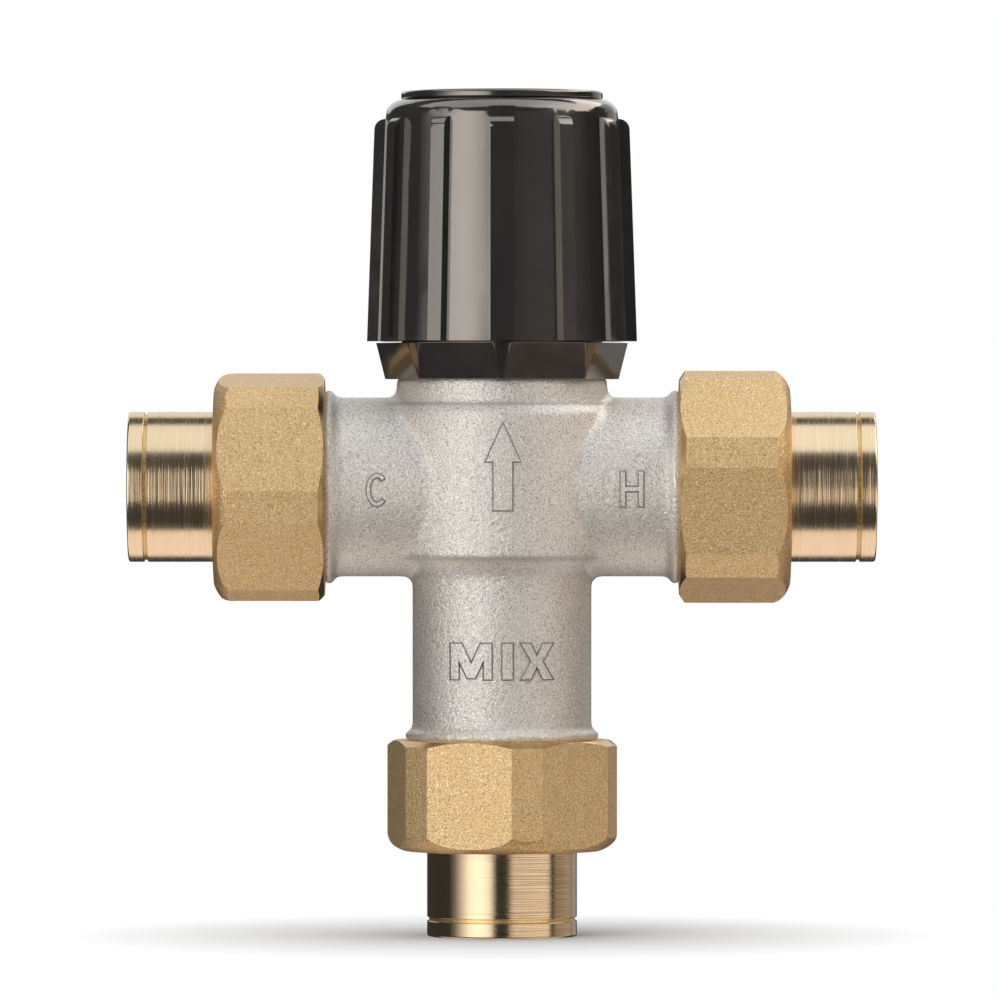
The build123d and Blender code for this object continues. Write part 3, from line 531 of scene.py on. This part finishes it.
SHARP = math.radians(32)  # edges over this angle aren't shaded smooth
MERGE = 0.5e-6  # corners of a CAD mesh nearer than this are one
SEAM = 1e-7  # the same for a turned mesh
TURN_STEPS = 160  # faces round a turned piece
NUT_STEPS = 144  # the same for a nut, before its flats are cut


def span(node, axis):
    """Lowest and highest coordinate of a CAD node along an axis of the frame."""
    low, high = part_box(node)
    return low[axis], high[axis]


def reach_of(node, outward):
    """Near and far distance of a CAD node from the middle of the valve, along a direction."""
    low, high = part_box(node)
    return sorted(((low - CENTRE) @ outward, (high - CENTRE) @ outward))


def upright(outward):
    """Whether a port's direction lies along the valve's height."""
    return abs(outward.z) > 0.5


def port_matrix(outward, turn=0.0):
    """Takes a mesh made round Z, outwards, to its port."""
    radial = Vector((0, 1, 0)) if upright(outward) else Vector((0, 0, 1))
    side = outward.cross(radial)
    matrix = Matrix((radial, side, outward)).transposed().to_4x4()
    return Matrix.Translation(CENTRE) @ matrix @ Matrix.Rotation(turn, 4, "Z")


def finished(bm, name, body, slot, *materials):
    """Turns a bmesh into a piece that rides on a body, with smooth faces and sharp edges marked."""
    for edge in bm.edges:
        edge.smooth = not (len(edge.link_faces) == 2 and edge.calc_face_angle(0) > SHARP)
    for face in bm.faces:
        face.smooth = True
    mesh = bpy.data.meshes.new(name)
    bm.to_mesh(mesh)
    bm.free()
    piece = bpy.data.objects.new(name, mesh)
    bpy.context.scene.collection.objects.link(piece)
    for each in materials:
        mesh.materials.append(each)
    level = piece.modifiers.new("level_normals", "WEIGHTED_NORMAL")
    level.keep_sharp = True
    level.weight = 100
    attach(piece, body)
    return piece


def merged_copy(node):
    """A bmesh copy of a CAD node, its loose triangles joined."""
    bm = bmesh.new()
    bm.from_mesh(frame["nodes"][node].data)
    bmesh.ops.remove_doubles(bm, verts=bm.verts, dist=MERGE)
    return bm


def turned(outline, steps):
    """A closed solid turned about Z from a closed outline of (radius, level) points."""
    bm = bmesh.new()
    points = [bm.verts.new((radius, 0, level)) for radius, level in outline]
    edges = [bm.edges.new((a, b)) for a, b in zip(points, points[1:] + points[:1])]
    bmesh.ops.spin(
        bm,
        geom=points + edges,
        axis=(0, 0, 1),
        cent=(0, 0, 0),
        angle=math.tau,
        steps=steps,
        use_merge=True,
    )
    bmesh.ops.remove_doubles(bm, verts=bm.verts, dist=SEAM)
    bmesh.ops.recalc_face_normals(bm, faces=bm.faces)
    return bm


def merge_flat(bm, degrees):
    """Joins the faces that lie in one plane, to within an angle."""
    limit = math.radians(degrees)
    bmesh.ops.dissolve_limit(bm, angle_limit=limit, verts=bm.verts, edges=bm.edges)


def folds(bm, degrees, radius):
    """Edges folded by more than an angle that lie outside a radius round Z."""
    return [
        edge
        for edge in bm.edges
        if len(edge.link_faces) == 2
        and edge.calc_face_angle(0) > math.radians(degrees)
        and min(vert.co.xy.length for vert in edge.verts) > radius
    ]


def bevel(bm, edges, width, segments):
    """Rounds edges. Returns the new faces."""
    made = bmesh.ops.bevel(
        bm,
        geom=list(edges),
        offset=width,
        offset_type="OFFSET",
        affect="EDGES",
        segments=segments,
        profile=0.5,
        material=-1,
        clamp_overlap=True,
    )
    return made["faces"]


def arc(centre, radius, start, end, steps):
    """Points (radius, level) of an arc, with its angles in degrees from the radial direction."""
    turns = [math.radians(start + (end - start) * i / steps) for i in range(steps + 1)]
    return [(centre[0] + radius * math.cos(t), centre[1] + radius * math.sin(t)) for t in turns]


# ------------------------------------------------------------------ pieces


class VALVE_OT_casting(bpy.types.Operator):
    """Build the cast tee body with its softened edges"""

    bl_idname = "valve.casting"
    bl_label = "Cast body"

    def execute(self, context):
        look = context.scene.valve_body
        bm = merged_copy("valve_body")
        plating = material("matt_plating", paint_casting)
        body = finished(bm, "cast_body", "valve", "plated_casting", plating)
        body.modifiers.clear()
        remesh = body.modifiers.new("skin", "REMESH")
        remesh.mode = "VOXEL"
        remesh.voxel_size = look.skin_step
        remesh.use_smooth_shade = True
        smooth = body.modifiers.new("soften", "SMOOTH")
        smooth.factor = 0.5
        smooth.iterations = look.soften
        apply_modifiers(body)
        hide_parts("valve_body")
        return {"FINISHED"}


def apply_modifiers(piece):
    """Makes a piece's modifiers part of its mesh."""
    graph = bpy.context.evaluated_depsgraph_get()
    mesh = bpy.data.meshes.new_from_object(piece.evaluated_get(graph))
    mesh.name = piece.name
    piece.modifiers.clear()
    piece.data = mesh


def ellipse(width, height, start, end):
    """Points of an elliptical arc in a box of side 1, with its angles in degrees."""
    steps = 22
    turns = [math.radians(start + (end - start) * i / steps) for i in range(steps + 1)]
    return [(0.5 + width * math.cos(t), 0.5 + height * math.sin(t)) for t in turns]


GLYPHS = {  # outlines in shares of the mark's width and height
    "C": [*ellipse(0.5, 0.5, 38, 322), *ellipse(0.23, 0.31, 318, 42)],
    "H": [
        (0, 0), (0, 1), (0.3, 1), (0.3, 0.6), (0.7, 0.6), (0.7, 1),
        (1, 1), (1, 0), (0.7, 0), (0.7, 0.4), (0.3, 0.4), (0.3, 0),
    ],
    "M": [
        (0, 0), (0, 1), (0.31, 1), (0.5, 0.54), (0.69, 1), (1, 1), (1, 0),
        (0.75, 0), (0.75, 0.36), (0.61, 0.03), (0.39, 0.03), (0.25, 0.36), (0.25, 0),
    ],
    "I": [(0, 0), (0, 1), (1, 1), (1, 0)],
    "X": [
        (0, 0), (0.3, 0.5), (0, 1), (0.36, 1), (0.5, 0.72), (0.64, 1),
        (1, 1), (0.7, 0.5), (1, 0), (0.64, 0), (0.5, 0.28), (0.36, 0),
    ],
    "arrow": [(0, 0.53), (0.5, 1), (1, 0.53), (0.78, 0.53), (0.78, 0), (0.22, 0), (0.22, 0.53)],
}

MARKS = [  # name, glyph, left, right, foot and top in millimetres from the port axes' crossing
    ("mark_cold", "C", -23.3, -19.2, -3.4, 2.6),
    ("mark_hot", "H", 19.9, 24.3, -3.5, 3.0),
    ("mark_mix_m", "M", -9.0, -1.5, -32.9, -26.3),
    ("mark_mix_i", "I", -0.2, 2.1, -32.9, -26.3),
    ("mark_mix_x", "X", 2.8, 9.1, -32.9, -26.3),
    ("flow_arrow", "arrow", -3.2, 3.5, -4.1, 11.5),
]


class VALVE_OT_marks(bpy.types.Operator):
    """Raise the port letters and the flow arrow on the casting"""

    bl_idname = "valve.marks"
    bl_label = "Marks"

    def execute(self, context):
        look = context.scene.valve_body
        drum = span("valve_body", 1)[1]
        plating = material("matt_plating", paint_casting)
        # The marks' rims get painted shade, a darker plating round each mark.
        rim = material("mark_edges", paint_mark_edge_shade)
        for name, glyph, left, right, foot, top in MARKS:
            bm = bmesh.new()
            corners = [
                bm.verts.new(((left + (right - left) * x) * MM, 0, (foot + (top - foot) * z) * MM))
                for x, z in GLYPHS[glyph]
            ]
            plate = bm.faces.new(corners)
            plate.normal_update()
            ring = bmesh.ops.inset_region(
                bm, faces=[plate], thickness=look.mark_rim, use_boundary=True, use_even_offset=True
            )
            for each in ring["faces"]:
                each.material_index = 1
            for vert in bm.verts:
                vert.co.y = look.mark_sink if vert.is_boundary else -look.mark_relief
            bmesh.ops.triangulate(bm, faces=bm.faces[:])
            on_inlet = abs(left + right) > 2 * look.barrel / MM
            across = 2 if on_inlet else 0
            radius = drum if glyph == "arrow" else look.barrel
            normal = Vector((0, 0, 0))
            normal[across] = 1
            low = min(v.co[across] for v in bm.verts)
            high = max(v.co[across] for v in bm.verts)
            for i in range(1, int((high - low) / look.mark_step) + 1):
                bmesh.ops.bisect_plane(
                    bm,
                    geom=bm.verts[:] + bm.edges[:] + bm.faces[:],
                    plane_co=normal * (low + i * look.mark_step),
                    plane_no=normal,
                )
            for vert in bm.verts:
                vert.co.y -= math.sqrt(radius**2 - vert.co[across] ** 2)
            bmesh.ops.translate(bm, verts=bm.verts, vec=CENTRE)
            bmesh.ops.recalc_face_normals(bm, faces=bm.faces)
            if sum(f.normal.y for f in bm.faces) > 0:
                bmesh.ops.reverse_faces(bm, faces=bm.faces)
            finished(bm, name, "valve", "plated_casting", plating, rim)
        return {"FINISHED"}


NUT_STOCK = 1 * MM  # by which a nut is turned larger than its cut corners
CROWN_STOCK = 0.3 * MM  # by which the crown's curve starts outside them
CROWN_STEPS = 10
LIP_EDGE = 0.7 * MM  # chamfer inside the lip
LAND_MARGIN = 0.5 * MM  # depth inside the land's radius at which edges are still rounded
CROWN_LEAN = (0.1, 0.97)  # share of a crown face's normal that points outwards
SLANT_PLAY = 0.15  # the same for a chamfer's face, either side of the chamfer's own
CHAMFERED, WORN_AND_HIGHLIT, CROWNED = 1, 2, 3  # material slots of a nut after that of its flats


class VALVE_OT_union_nuts(bpy.types.Operator):
    """Build the three union nuts with their flats, cut corners and crowned ends"""

    bl_idname = "valve.union_nuts"
    bl_label = "Union nuts"

    def execute(self, context):
        look = context.scene.union_nut
        brasses = (
            material("blasted_brass", paint_blasted_brass),
            material("bright_brass", paint_bright_brass),
            material("worn_and_highlit_brass", paint_worn_and_highlit_brass),
            material("crown_brass", paint_crown_brass),
        )
        for port, (outward, turn) in PORTS.items():
            node = f"{port}_union_nut"
            inner, outer = reach_of(node, outward)
            flat, corner = look.across_flats / 2, look.across_corners / 2
            blank = corner + NUT_STOCK
            width = corner + CROWN_STOCK - look.core
            start = math.acos((look.land - look.core) / width)
            height = look.crown / math.sin(start)
            shoulder = outer - look.crown
            crown = [
                (look.core + width * x, shoulder + height * z)
                for x, z in arc((0, 0), 1, math.degrees(start), 0, CROWN_STEPS)
            ]
            outline = [
                (look.mouth, outer),
                *crown,
                (blank, inner + look.chamfer),
                (flat, inner),
                (look.bore, inner),
                (look.bore, outer - look.lip),
                (look.mouth + LIP_EDGE, outer - look.lip),
                (look.mouth, outer - look.lip + LIP_EDGE),
            ]
            bm = turned(outline, NUT_STEPS)
            for i in range(12):
                away = Matrix.Rotation(math.radians(30 * i), 3, "Z") @ Vector((1, 0, 0))
                bmesh.ops.bisect_plane(
                    bm,
                    geom=bm.verts[:] + bm.edges[:] + bm.faces[:],
                    plane_co=away * (corner if i % 2 == 0 else flat),
                    plane_no=away,
                    clear_outer=True,
                )
                rim = [e for e in bm.edges if e.is_boundary]
                bmesh.ops.contextual_create(bm, geom=rim)
            merge_flat(bm, 0.2)
            bmesh.ops.recalc_face_normals(bm, faces=bm.faces)
            ridge = folds(bm, 12, look.land - LAND_MARGIN)
            # The crown's rounded edges take the rubbed brass, which is light as a painted
            # highlight.
            for face in bevel(bm, ridge, look.edge_round, 3):
                if face.calc_center_median().z > shoulder:
                    face.material_index = WORN_AND_HIGHLIT
            slant = math.sin(math.atan2(blank - flat, look.chamfer))
            for face in bm.faces:
                level, lean = face.calc_center_median().z, face.normal.z
                crowned = level > shoulder and CROWN_LEAN[0] < lean < CROWN_LEAN[1]
                if crowned and face.material_index != WORN_AND_HIGHLIT:
                    face.material_index = CROWNED
                if level < inner + look.chamfer and abs(lean + slant) < SLANT_PLAY:
                    face.material_index = CHAMFERED
            bmesh.ops.transform(bm, verts=bm.verts, matrix=port_matrix(outward, math.radians(turn)))
            nut = finished(bm, f"{port}_nut", f"{port}_nut", "nut_brass", *brasses)
            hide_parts(node)
        return {"FINISHED"}


ROOT_ROUND = 0.6 * MM  # where a tail leaves its flange
SOCKET_EDGE = 0.4 * MM  # chamfer at the tube socket's mouth
GROOVE_EDGE = 0.1 * MM  # broken edges of the groove
GROOVE_SLOPE = 0.05 * MM  # by which its floor is narrower, at each side


class VALVE_OT_tailpieces(bpy.types.Operator):
    """Turn the three tailpieces with their grooves and tube sockets"""

    bl_idname = "valve.tailpieces"
    bl_label = "Tailpieces"

    def execute(self, context):
        look = context.scene.tailpiece
        turnings = {  # finish: tone, roughness and depth of the rings
            # The upright tail's brass is painted darker than the level tails': painted shade.
            "turned_upright_shaded": (darker(look.brass, 0.7), look.roughness - 0.08, 0.000025),
            "turned_level": (tuple(look.brass), look.roughness, 0.000035),
        }
        root = look.radius + ROOT_ROUND
        skin = look.radius - GROOVE_EDGE
        floor = look.radius - look.groove_depth
        for port, (outward, _) in PORTS.items():
            node = f"{port}_tailpiece"
            face, end = reach_of(node, outward)
            edge = look.edge_round
            groove = end - look.groove_from_end
            half = look.groove_width / 2
            flange = face + look.flange_thickness
            stop = end - look.socket_depth
            outline = [
                (look.waterway, face),
                (look.flange - edge, face),
                (look.flange, face + edge),
                (look.flange, flange - edge),
                (look.flange - edge, flange),
                *arc((root, flange + ROOT_ROUND), ROOT_ROUND, 270, 180, 5),
                (look.radius, groove - half - GROOVE_EDGE),
                (skin, groove - half),
                (floor, groove - half + GROOVE_SLOPE),
                (floor, groove + half - GROOVE_SLOPE),
                (skin, groove + half),
                (look.radius, groove + half + GROOVE_EDGE),
                *arc((look.radius - edge, end - edge), edge, 0, 90, 5),
                (look.socket + SOCKET_EDGE, end),
                (look.socket, end - SOCKET_EDGE),
                (look.socket, stop),
                (look.waterway, stop),
            ]
            bm = turned(outline, TURN_STEPS)
            for each in bm.faces:
                middle = each.calc_center_median()
                if abs(middle.z - groove) < half and middle.xy.length > floor - edge:
                    each.material_index = 1
            bmesh.ops.transform(bm, verts=bm.verts, matrix=port_matrix(outward))
            name = "turned_upright_shaded" if upright(outward) else "turned_level"
            brass = material(name, lambda it: paint_turned_brass(it, outward, *turnings[name]))
            gilt = material("groove_brass", paint_groove)
            tail = finished(bm, f"{port}_tail", f"{port}_tail", "turned_brass", brass, gilt)
            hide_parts(node)
        return {"FINISHED"}


COLLAR_INSIDE = 18.5 * MM  # radius inside which the collar's edges stay sharp
KNOB_INSIDE = 20.4 * MM  # the same for the knob


class VALVE_OT_collar(bpy.types.Operator):
    """Round the facets of the eight-sided collar"""

    bl_idname = "valve.collar"
    bl_label = "Collar"

    def execute(self, context):
        look = context.scene.valve_knob
        bm = merged_copy("knob_collar")
        merge_flat(bm, 0.4)
        bevel(bm, folds(bm, 8, COLLAR_INSIDE), look.collar_edge, 2)
        plastic = material("collar_plastic", paint_collar)
        piece = finished(bm, "collar", "valve", "black_collar", plastic)
        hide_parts("knob_collar")
        return {"FINISHED"}


RIB_SINK = 0.2 * MM  # depth under the knob's body to which a rib's corners reach
FLANK_PLAY = 0.1 * MM  # distance past a flank at which a corner is still the rib's
FOOT_PLAY = 0.02 * MM  # height up to which a corner lies on the knob's body


def steepen_ribs(bm):
    """Steepens the flanks of the knob's ribs and widens the face of the front rib."""
    look = bpy.context.scene.valve_knob
    foot = span("temperature_knob", 2)[0]
    pitch = math.tau / look.ribs
    for vert in bm.verts:
        reach = vert.co.xy.length
        body = look.foot_radius - (vert.co.z - foot) * math.tan(look.draft)
        rib = round(math.atan2(vert.co.x, -vert.co.y) / pitch)
        out = Vector((math.sin(rib * pitch), -math.cos(rib * pitch), 0))
        side = Vector((math.cos(rib * pitch), math.sin(rib * pitch), 0))
        height, offset = vert.co @ out - body, vert.co @ side
        rise = min(max(height / look.rib_height, 0), 1)
        flank = (look.rib_foot + (look.rib_face - look.rib_foot) * rise) / 2
        if height < -RIB_SINK or abs(offset) > flank + FLANK_PLAY:
            continue
        at_foot = look.pointer_foot if rib == 0 else look.flank_foot
        at_face = look.pointer_face if rib == 0 else look.flank_face
        wanted = (at_foot + (at_face - at_foot) * rise) / 2
        vert.co += side * offset * (wanted / flank - 1)
        if vert.co.z > foot + look.rib_end:
            vert.co.z -= look.rib_drop
        if reach < body + FOOT_PLAY:
            vert.co.xy *= reach / vert.co.xy.length


class VALVE_OT_knob(bpy.types.Operator):
    """Steepen and round the ribs of the knob"""

    bl_idname = "valve.knob"
    bl_label = "Knob"

    def execute(self, context):
        look = context.scene.valve_knob
        bm = merged_copy("temperature_knob")
        steepen_ribs(bm)
        merge_flat(bm, 0.4)
        bm.normal_update()
        ribs = [edge for edge in folds(bm, 20, KNOB_INSIDE) if edge.is_convex]
        bevel(bm, ribs, look.edge_round, 2)
        plastic = material("black_plastic", paint_plastic)
        piece = finished(bm, "knob", "knob", "black_knob", plastic)
        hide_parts("temperature_knob")
        return {"FINISHED"}


class VALVE_OT_cap(bpy.types.Operator):
    """Turn the disc that covers the knob's screw"""

    bl_idname = "valve.cap"
    bl_label = "Cap"

    def execute(self, context):
        look = context.scene.valve_knob
        foot, top = span("knob_cap", 2)
        seat = top - look.cap_thickness
        edge = look.cap_edge
        under_edge = 0.3 * MM
        outline = [
            (0, foot),
            (look.plug_radius, foot),
            (look.plug_radius, seat),
            (look.cap_radius - under_edge, seat),
            (look.cap_radius, seat + under_edge),
            *arc((look.cap_radius - edge, top - edge), edge, 0, 90, 6),
            (0, top),
        ]
        plastic = material("black_plastic", paint_plastic)
        bm = turned(outline, TURN_STEPS)
        piece = finished(bm, "cap", "knob", "black_knob", plastic)
        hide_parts("knob_cap")
        return {"FINISHED"}


class VALVE_OT_inner_parts(bpy.types.Operator):
    """Give the pieces inside the valve their finishes"""

    bl_idname = "valve.inner_parts"
    bl_label = "Inner parts"

    def execute(self, context):
        for part in frame["record"]["subparts"]:
            piece, slot = frame["nodes"][part["node"]], part["material_slot"]
            if not piece.hide_render:
                piece.data.materials.clear()
                piece.data.materials.append(material(slot, INNER_FINISHES[slot]))
        return {"FINISHED"}


# ------------------------------------------------------------------ stage


def aim(thing, azimuth, elevation, distance):
    """Puts a thing round the valve, facing it. Azimuth 0 is in front, and grows to the right."""
    flat = math.cos(elevation)
    away = Vector((math.sin(azimuth) * flat, -math.cos(azimuth) * flat, math.sin(elevation)))
    thing.location = CENTRE + away * distance
    thing.rotation_euler = away.to_track_quat("Z", "Y").to_euler()


def softbox(name, azimuth, elevation, distance, width, height, radiance, tone):
    """A rectangular light that lights matt surfaces, placed by its angles in degrees."""
    light = bpy.data.lights.new(name, "AREA")
    light.shape = "RECTANGLE"
    light.size, light.size_y = width, height
    light.energy = radiance * math.pi * width * height
    light.color = tone
    lamp = bpy.data.objects.new(name, light)
    bpy.context.scene.collection.objects.link(lamp)
    lamp.visible_camera = lamp.visible_glossy = False
    aim(lamp, math.radians(azimuth), math.radians(elevation), distance)


def stage_sheet(name, bm, paint):
    """A piece of the stage from a bmesh."""
    mesh = bpy.data.meshes.new(name)
    bm.to_mesh(mesh)
    bm.free()
    sheet = bpy.data.objects.new(name, mesh)
    bpy.context.scene.collection.objects.link(sheet)
    mesh.materials.append(material(name, paint))
    return sheet


SHADOW_FADE = (0.01, 0.075)  # distances over which the floor turns from shaded to plain white
LEAST_WHITE = 0.05  # share of plain white in the floor under the valve


def paint_floor(finish):
    """White paper that keeps the shadow near the valve and turns plain white away from it."""
    paper = tuple(bpy.context.scene.valve_stage.paper)
    here = finish.node("ShaderNodeTexCoord", output="Object")
    away = finish.node("ShaderNodeVectorMath", {"operation": "LENGTH"}, {0: here}, output="Value")
    far = finish.ramp(away, *SHADOW_FADE)
    straight = finish.node("ShaderNodeLightPath", output="Is Camera Ray")
    matt = finish.node("ShaderNodeBsdfDiffuse", {}, {"Color": paper})
    glow = finish.node("ShaderNodeEmission", {}, {"Color": (1, 1, 1), "Strength": 1.0})
    white = straight * (far * (1 - LEAST_WHITE) + LEAST_WHITE)
    finish.output(finish.node("ShaderNodeMixShader", {}, {0: white, 1: matt, 2: glow}))


def paint_card(width, tones, tint):
    """A painter for a card with brightness stops across it, from its left to its right."""

    def paint(finish):
        here = finish.node("ShaderNodeTexCoord", output="Object")
        across = finish.node("ShaderNodeSeparateXYZ", {}, {0: here}, output="X")
        last, peak = len(tones) - 1, max(tones)
        stops = [
            (i / last, [tone / peak * part for part in tint]) for i, tone in enumerate(tones)
        ]
        place = finish.ramp(across, -width / 2, width / 2)
        shade = finish.node("ShaderNodeValToRGB", {"stops": stops}, {0: place})
        finish.output(finish.node("ShaderNodeEmission", {}, {"Color": shade, "Strength": peak}))

    return paint


def card(name, azimuths, elevations, distance, tones, tint):
    """A glowing card that only reflections see, between two azimuths and two elevations."""
    turn, rise = sum(azimuths) / 2, sum(elevations) / 2
    width = 2 * distance * math.tan(math.radians(azimuths[1] - azimuths[0]) / 2)
    height = 2 * distance * math.tan(math.radians(elevations[1] - elevations[0]) / 2)
    bm = bmesh.new()
    bmesh.ops.create_grid(bm, x_segments=1, y_segments=1, size=0.5)
    bmesh.ops.scale(bm, verts=bm.verts, vec=(width, height, 1))
    sheet = stage_sheet(name, bm, paint_card(width, tones, tint))
    for ray in ("camera", "diffuse", "transmission", "volume_scatter", "shadow"):
        setattr(sheet, f"visible_{ray}", False)
    aim(sheet, math.radians(turn), math.radians(rise), distance)


LEFT_TONES = (0.11, 0.18, 0.56, 1.1, 1.7, 1.9, 1.8, 1.5, 0.95)
TOP_TONES = (0.97, 0.97, 0.91, 0.84, 0.84, 0.97, 1.5, 1.85, 1.85)
CARDS = [  # name, azimuths and elevations in degrees, distance, tones from left to right, tint
    ("left_card", (-86, -13), (-23, 28), 1.2, LEFT_TONES, (1, 1, 1)),
    ("right_low_card", (13, 79), (-27, -1), 1.3, (1.2, 1.22, 1.25), (1, 0.9, 0.83)),
    ("right_dim_card", (11, 92), (-1, 26), 1.4, (0.1, 0.11, 0.15, 0.06), (1, 1, 1)),
    ("right_side_card", (88, 130), (-27, -2), 1.4, (0.45, 0.6), (1, 0.87, 0.72)),
    ("back_right_card", (128, 158), (-12, 30), 1.4, (0.3, 0.5), (1, 0.97, 0.93)),
    ("high_right_card", (62, 100), (24, 56), 1.4, (2.15, 2.35), (1, 0.93, 0.86)),
    ("high_back_card", (104, 158), (31, 50), 1.4, (2.0, 2.4), (1, 0.93, 0.86)),
    ("top_card", (-50, 50), (56, 112), 0.9, TOP_TONES, (1, 1.05, 1.1)),
    ("under_card", (-50, 50), (-134, -70), 0.9, (0.87, 0.92), (1, 0.91, 0.88)),
    ("back_card", (150, 210), (9, 45), 1.4, (0.8, 0.8), (1, 1, 1)),
]
LAMPS = [  # name, azimuth and elevation in degrees, distance, width, height, radiance, tone
    ("left_softbox", -32, 22, 1.2, 0.80, 0.75, 6.5, (1.0, 0.98, 0.95)),
    ("right_softbox", 46, 22, 1.3, 1.0, 0.75, 1.2, (1.0, 0.95, 0.92)),
    ("top_softbox", 0, 82, 0.9, 1.3, 0.75, 2.0, (1, 1, 1)),
    ("back_left", -140, 20, 1.4, 0.9, 0.9, 1.2, (1, 1, 1)),
    ("back_right", 140, 20, 1.4, 0.9, 0.9, 1.2, (1, 1, 1)),
]
FLOOR_SIZE = 6
SENSOR = 36  # width of the camera's sensor in millimetres
VIEW_RANGE = (0.05, 50)  # nearest and farthest distance that the camera sees


class VALVE_OT_stage(bpy.types.Operator):
    """Set up the camera, the paper floor and the lights"""

    bl_idname = "valve.stage"
    bl_label = "Stage"

    def execute(self, context):
        scene = context.scene
        look = scene.valve_stage
        view = bpy.data.cameras.new("camera")
        view.sensor_width = SENSOR
        view.lens = look.lens
        view.shift_x, view.shift_y = look.shift_x, look.shift_y
        view.clip_start, view.clip_end = VIEW_RANGE
        camera = bpy.data.objects.new("camera", view)
        scene.collection.objects.link(camera)
        camera.location = (0, -look.camera_distance, look.camera_height)
        camera.rotation_euler = (math.pi / 2, 0, 0)
        scene.camera = camera
        scene.view_settings.view_transform = "Standard"

        bm = bmesh.new()
        bmesh.ops.create_grid(bm, x_segments=1, y_segments=1, size=FLOOR_SIZE)
        floor = stage_sheet("floor", bm, paint_floor)
        floor.visible_glossy = False

        for each in CARDS:
            card(*each)
        for each in LAMPS:
            softbox(*each)

        world = bpy.data.worlds.new("studio")
        scene.world = world
        world.use_nodes = True
        finish = Finish(world.node_tree)
        straight = finish.node("ShaderNodeLightPath", output="Is Camera Ray")
        gloss = finish.node("ShaderNodeLightPath", output="Is Glossy Ray")
        strength = straight * (1 - look.ambient) - gloss * (look.ambient - look.room) + look.ambient
        light = finish.node("ShaderNodeBackground", {}, {"Color": (1, 1, 1), "Strength": strength})
        finish.node("ShaderNodeOutputWorld", {}, {"Surface": light})
        return {"FINISHED"}


# ------------------------------------------------------------------ add-on

OPERATORS = [
    VALVE_OT_casting,
    VALVE_OT_marks,
    VALVE_OT_union_nuts,
    VALVE_OT_tailpieces,
    VALVE_OT_collar,
    VALVE_OT_knob,
    VALVE_OT_cap,
    VALVE_OT_inner_parts,
    VALVE_OT_stage,
]


class VALVE_PT_panel(bpy.types.Panel):
    """The valve's pieces, in the order in which they are built"""

    bl_label = "Mixing valve"
    bl_idname = "VALVE_PT_panel"
    bl_space_type = "VIEW_3D"
    bl_region_type = "UI"
    bl_category = "Valve"

    def draw(self, context):
        for operator in OPERATORS:
            self.layout.operator(operator.bl_idname)
        for name, group in GROUPS.items():
            box = self.layout.box()
            box.label(text=group.__name__)
            for prop in group.__annotations__:
                box.prop(getattr(context.scene, name), prop)


CLASSES = [*GROUPS.values(), *OPERATORS, VALVE_PT_panel]


def register():
    for each in CLASSES:
        bpy.utils.register_class(each)
    for name, group in GROUPS.items():
        setattr(bpy.types.Scene, name, PointerProperty(type=group))


def unregister():
    for name in GROUPS:
        delattr(bpy.types.Scene, name)
    for each in reversed(CLASSES):
        bpy.utils.unregister_class(each)


def main():
    """Builds the valve and its stage."""
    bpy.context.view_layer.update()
    register()
    for operator in OPERATORS:
        name = operator.bl_idname.split(".")[1]
        getattr(bpy.ops.valve, name)()


if __name__ == "__main__":
    main()
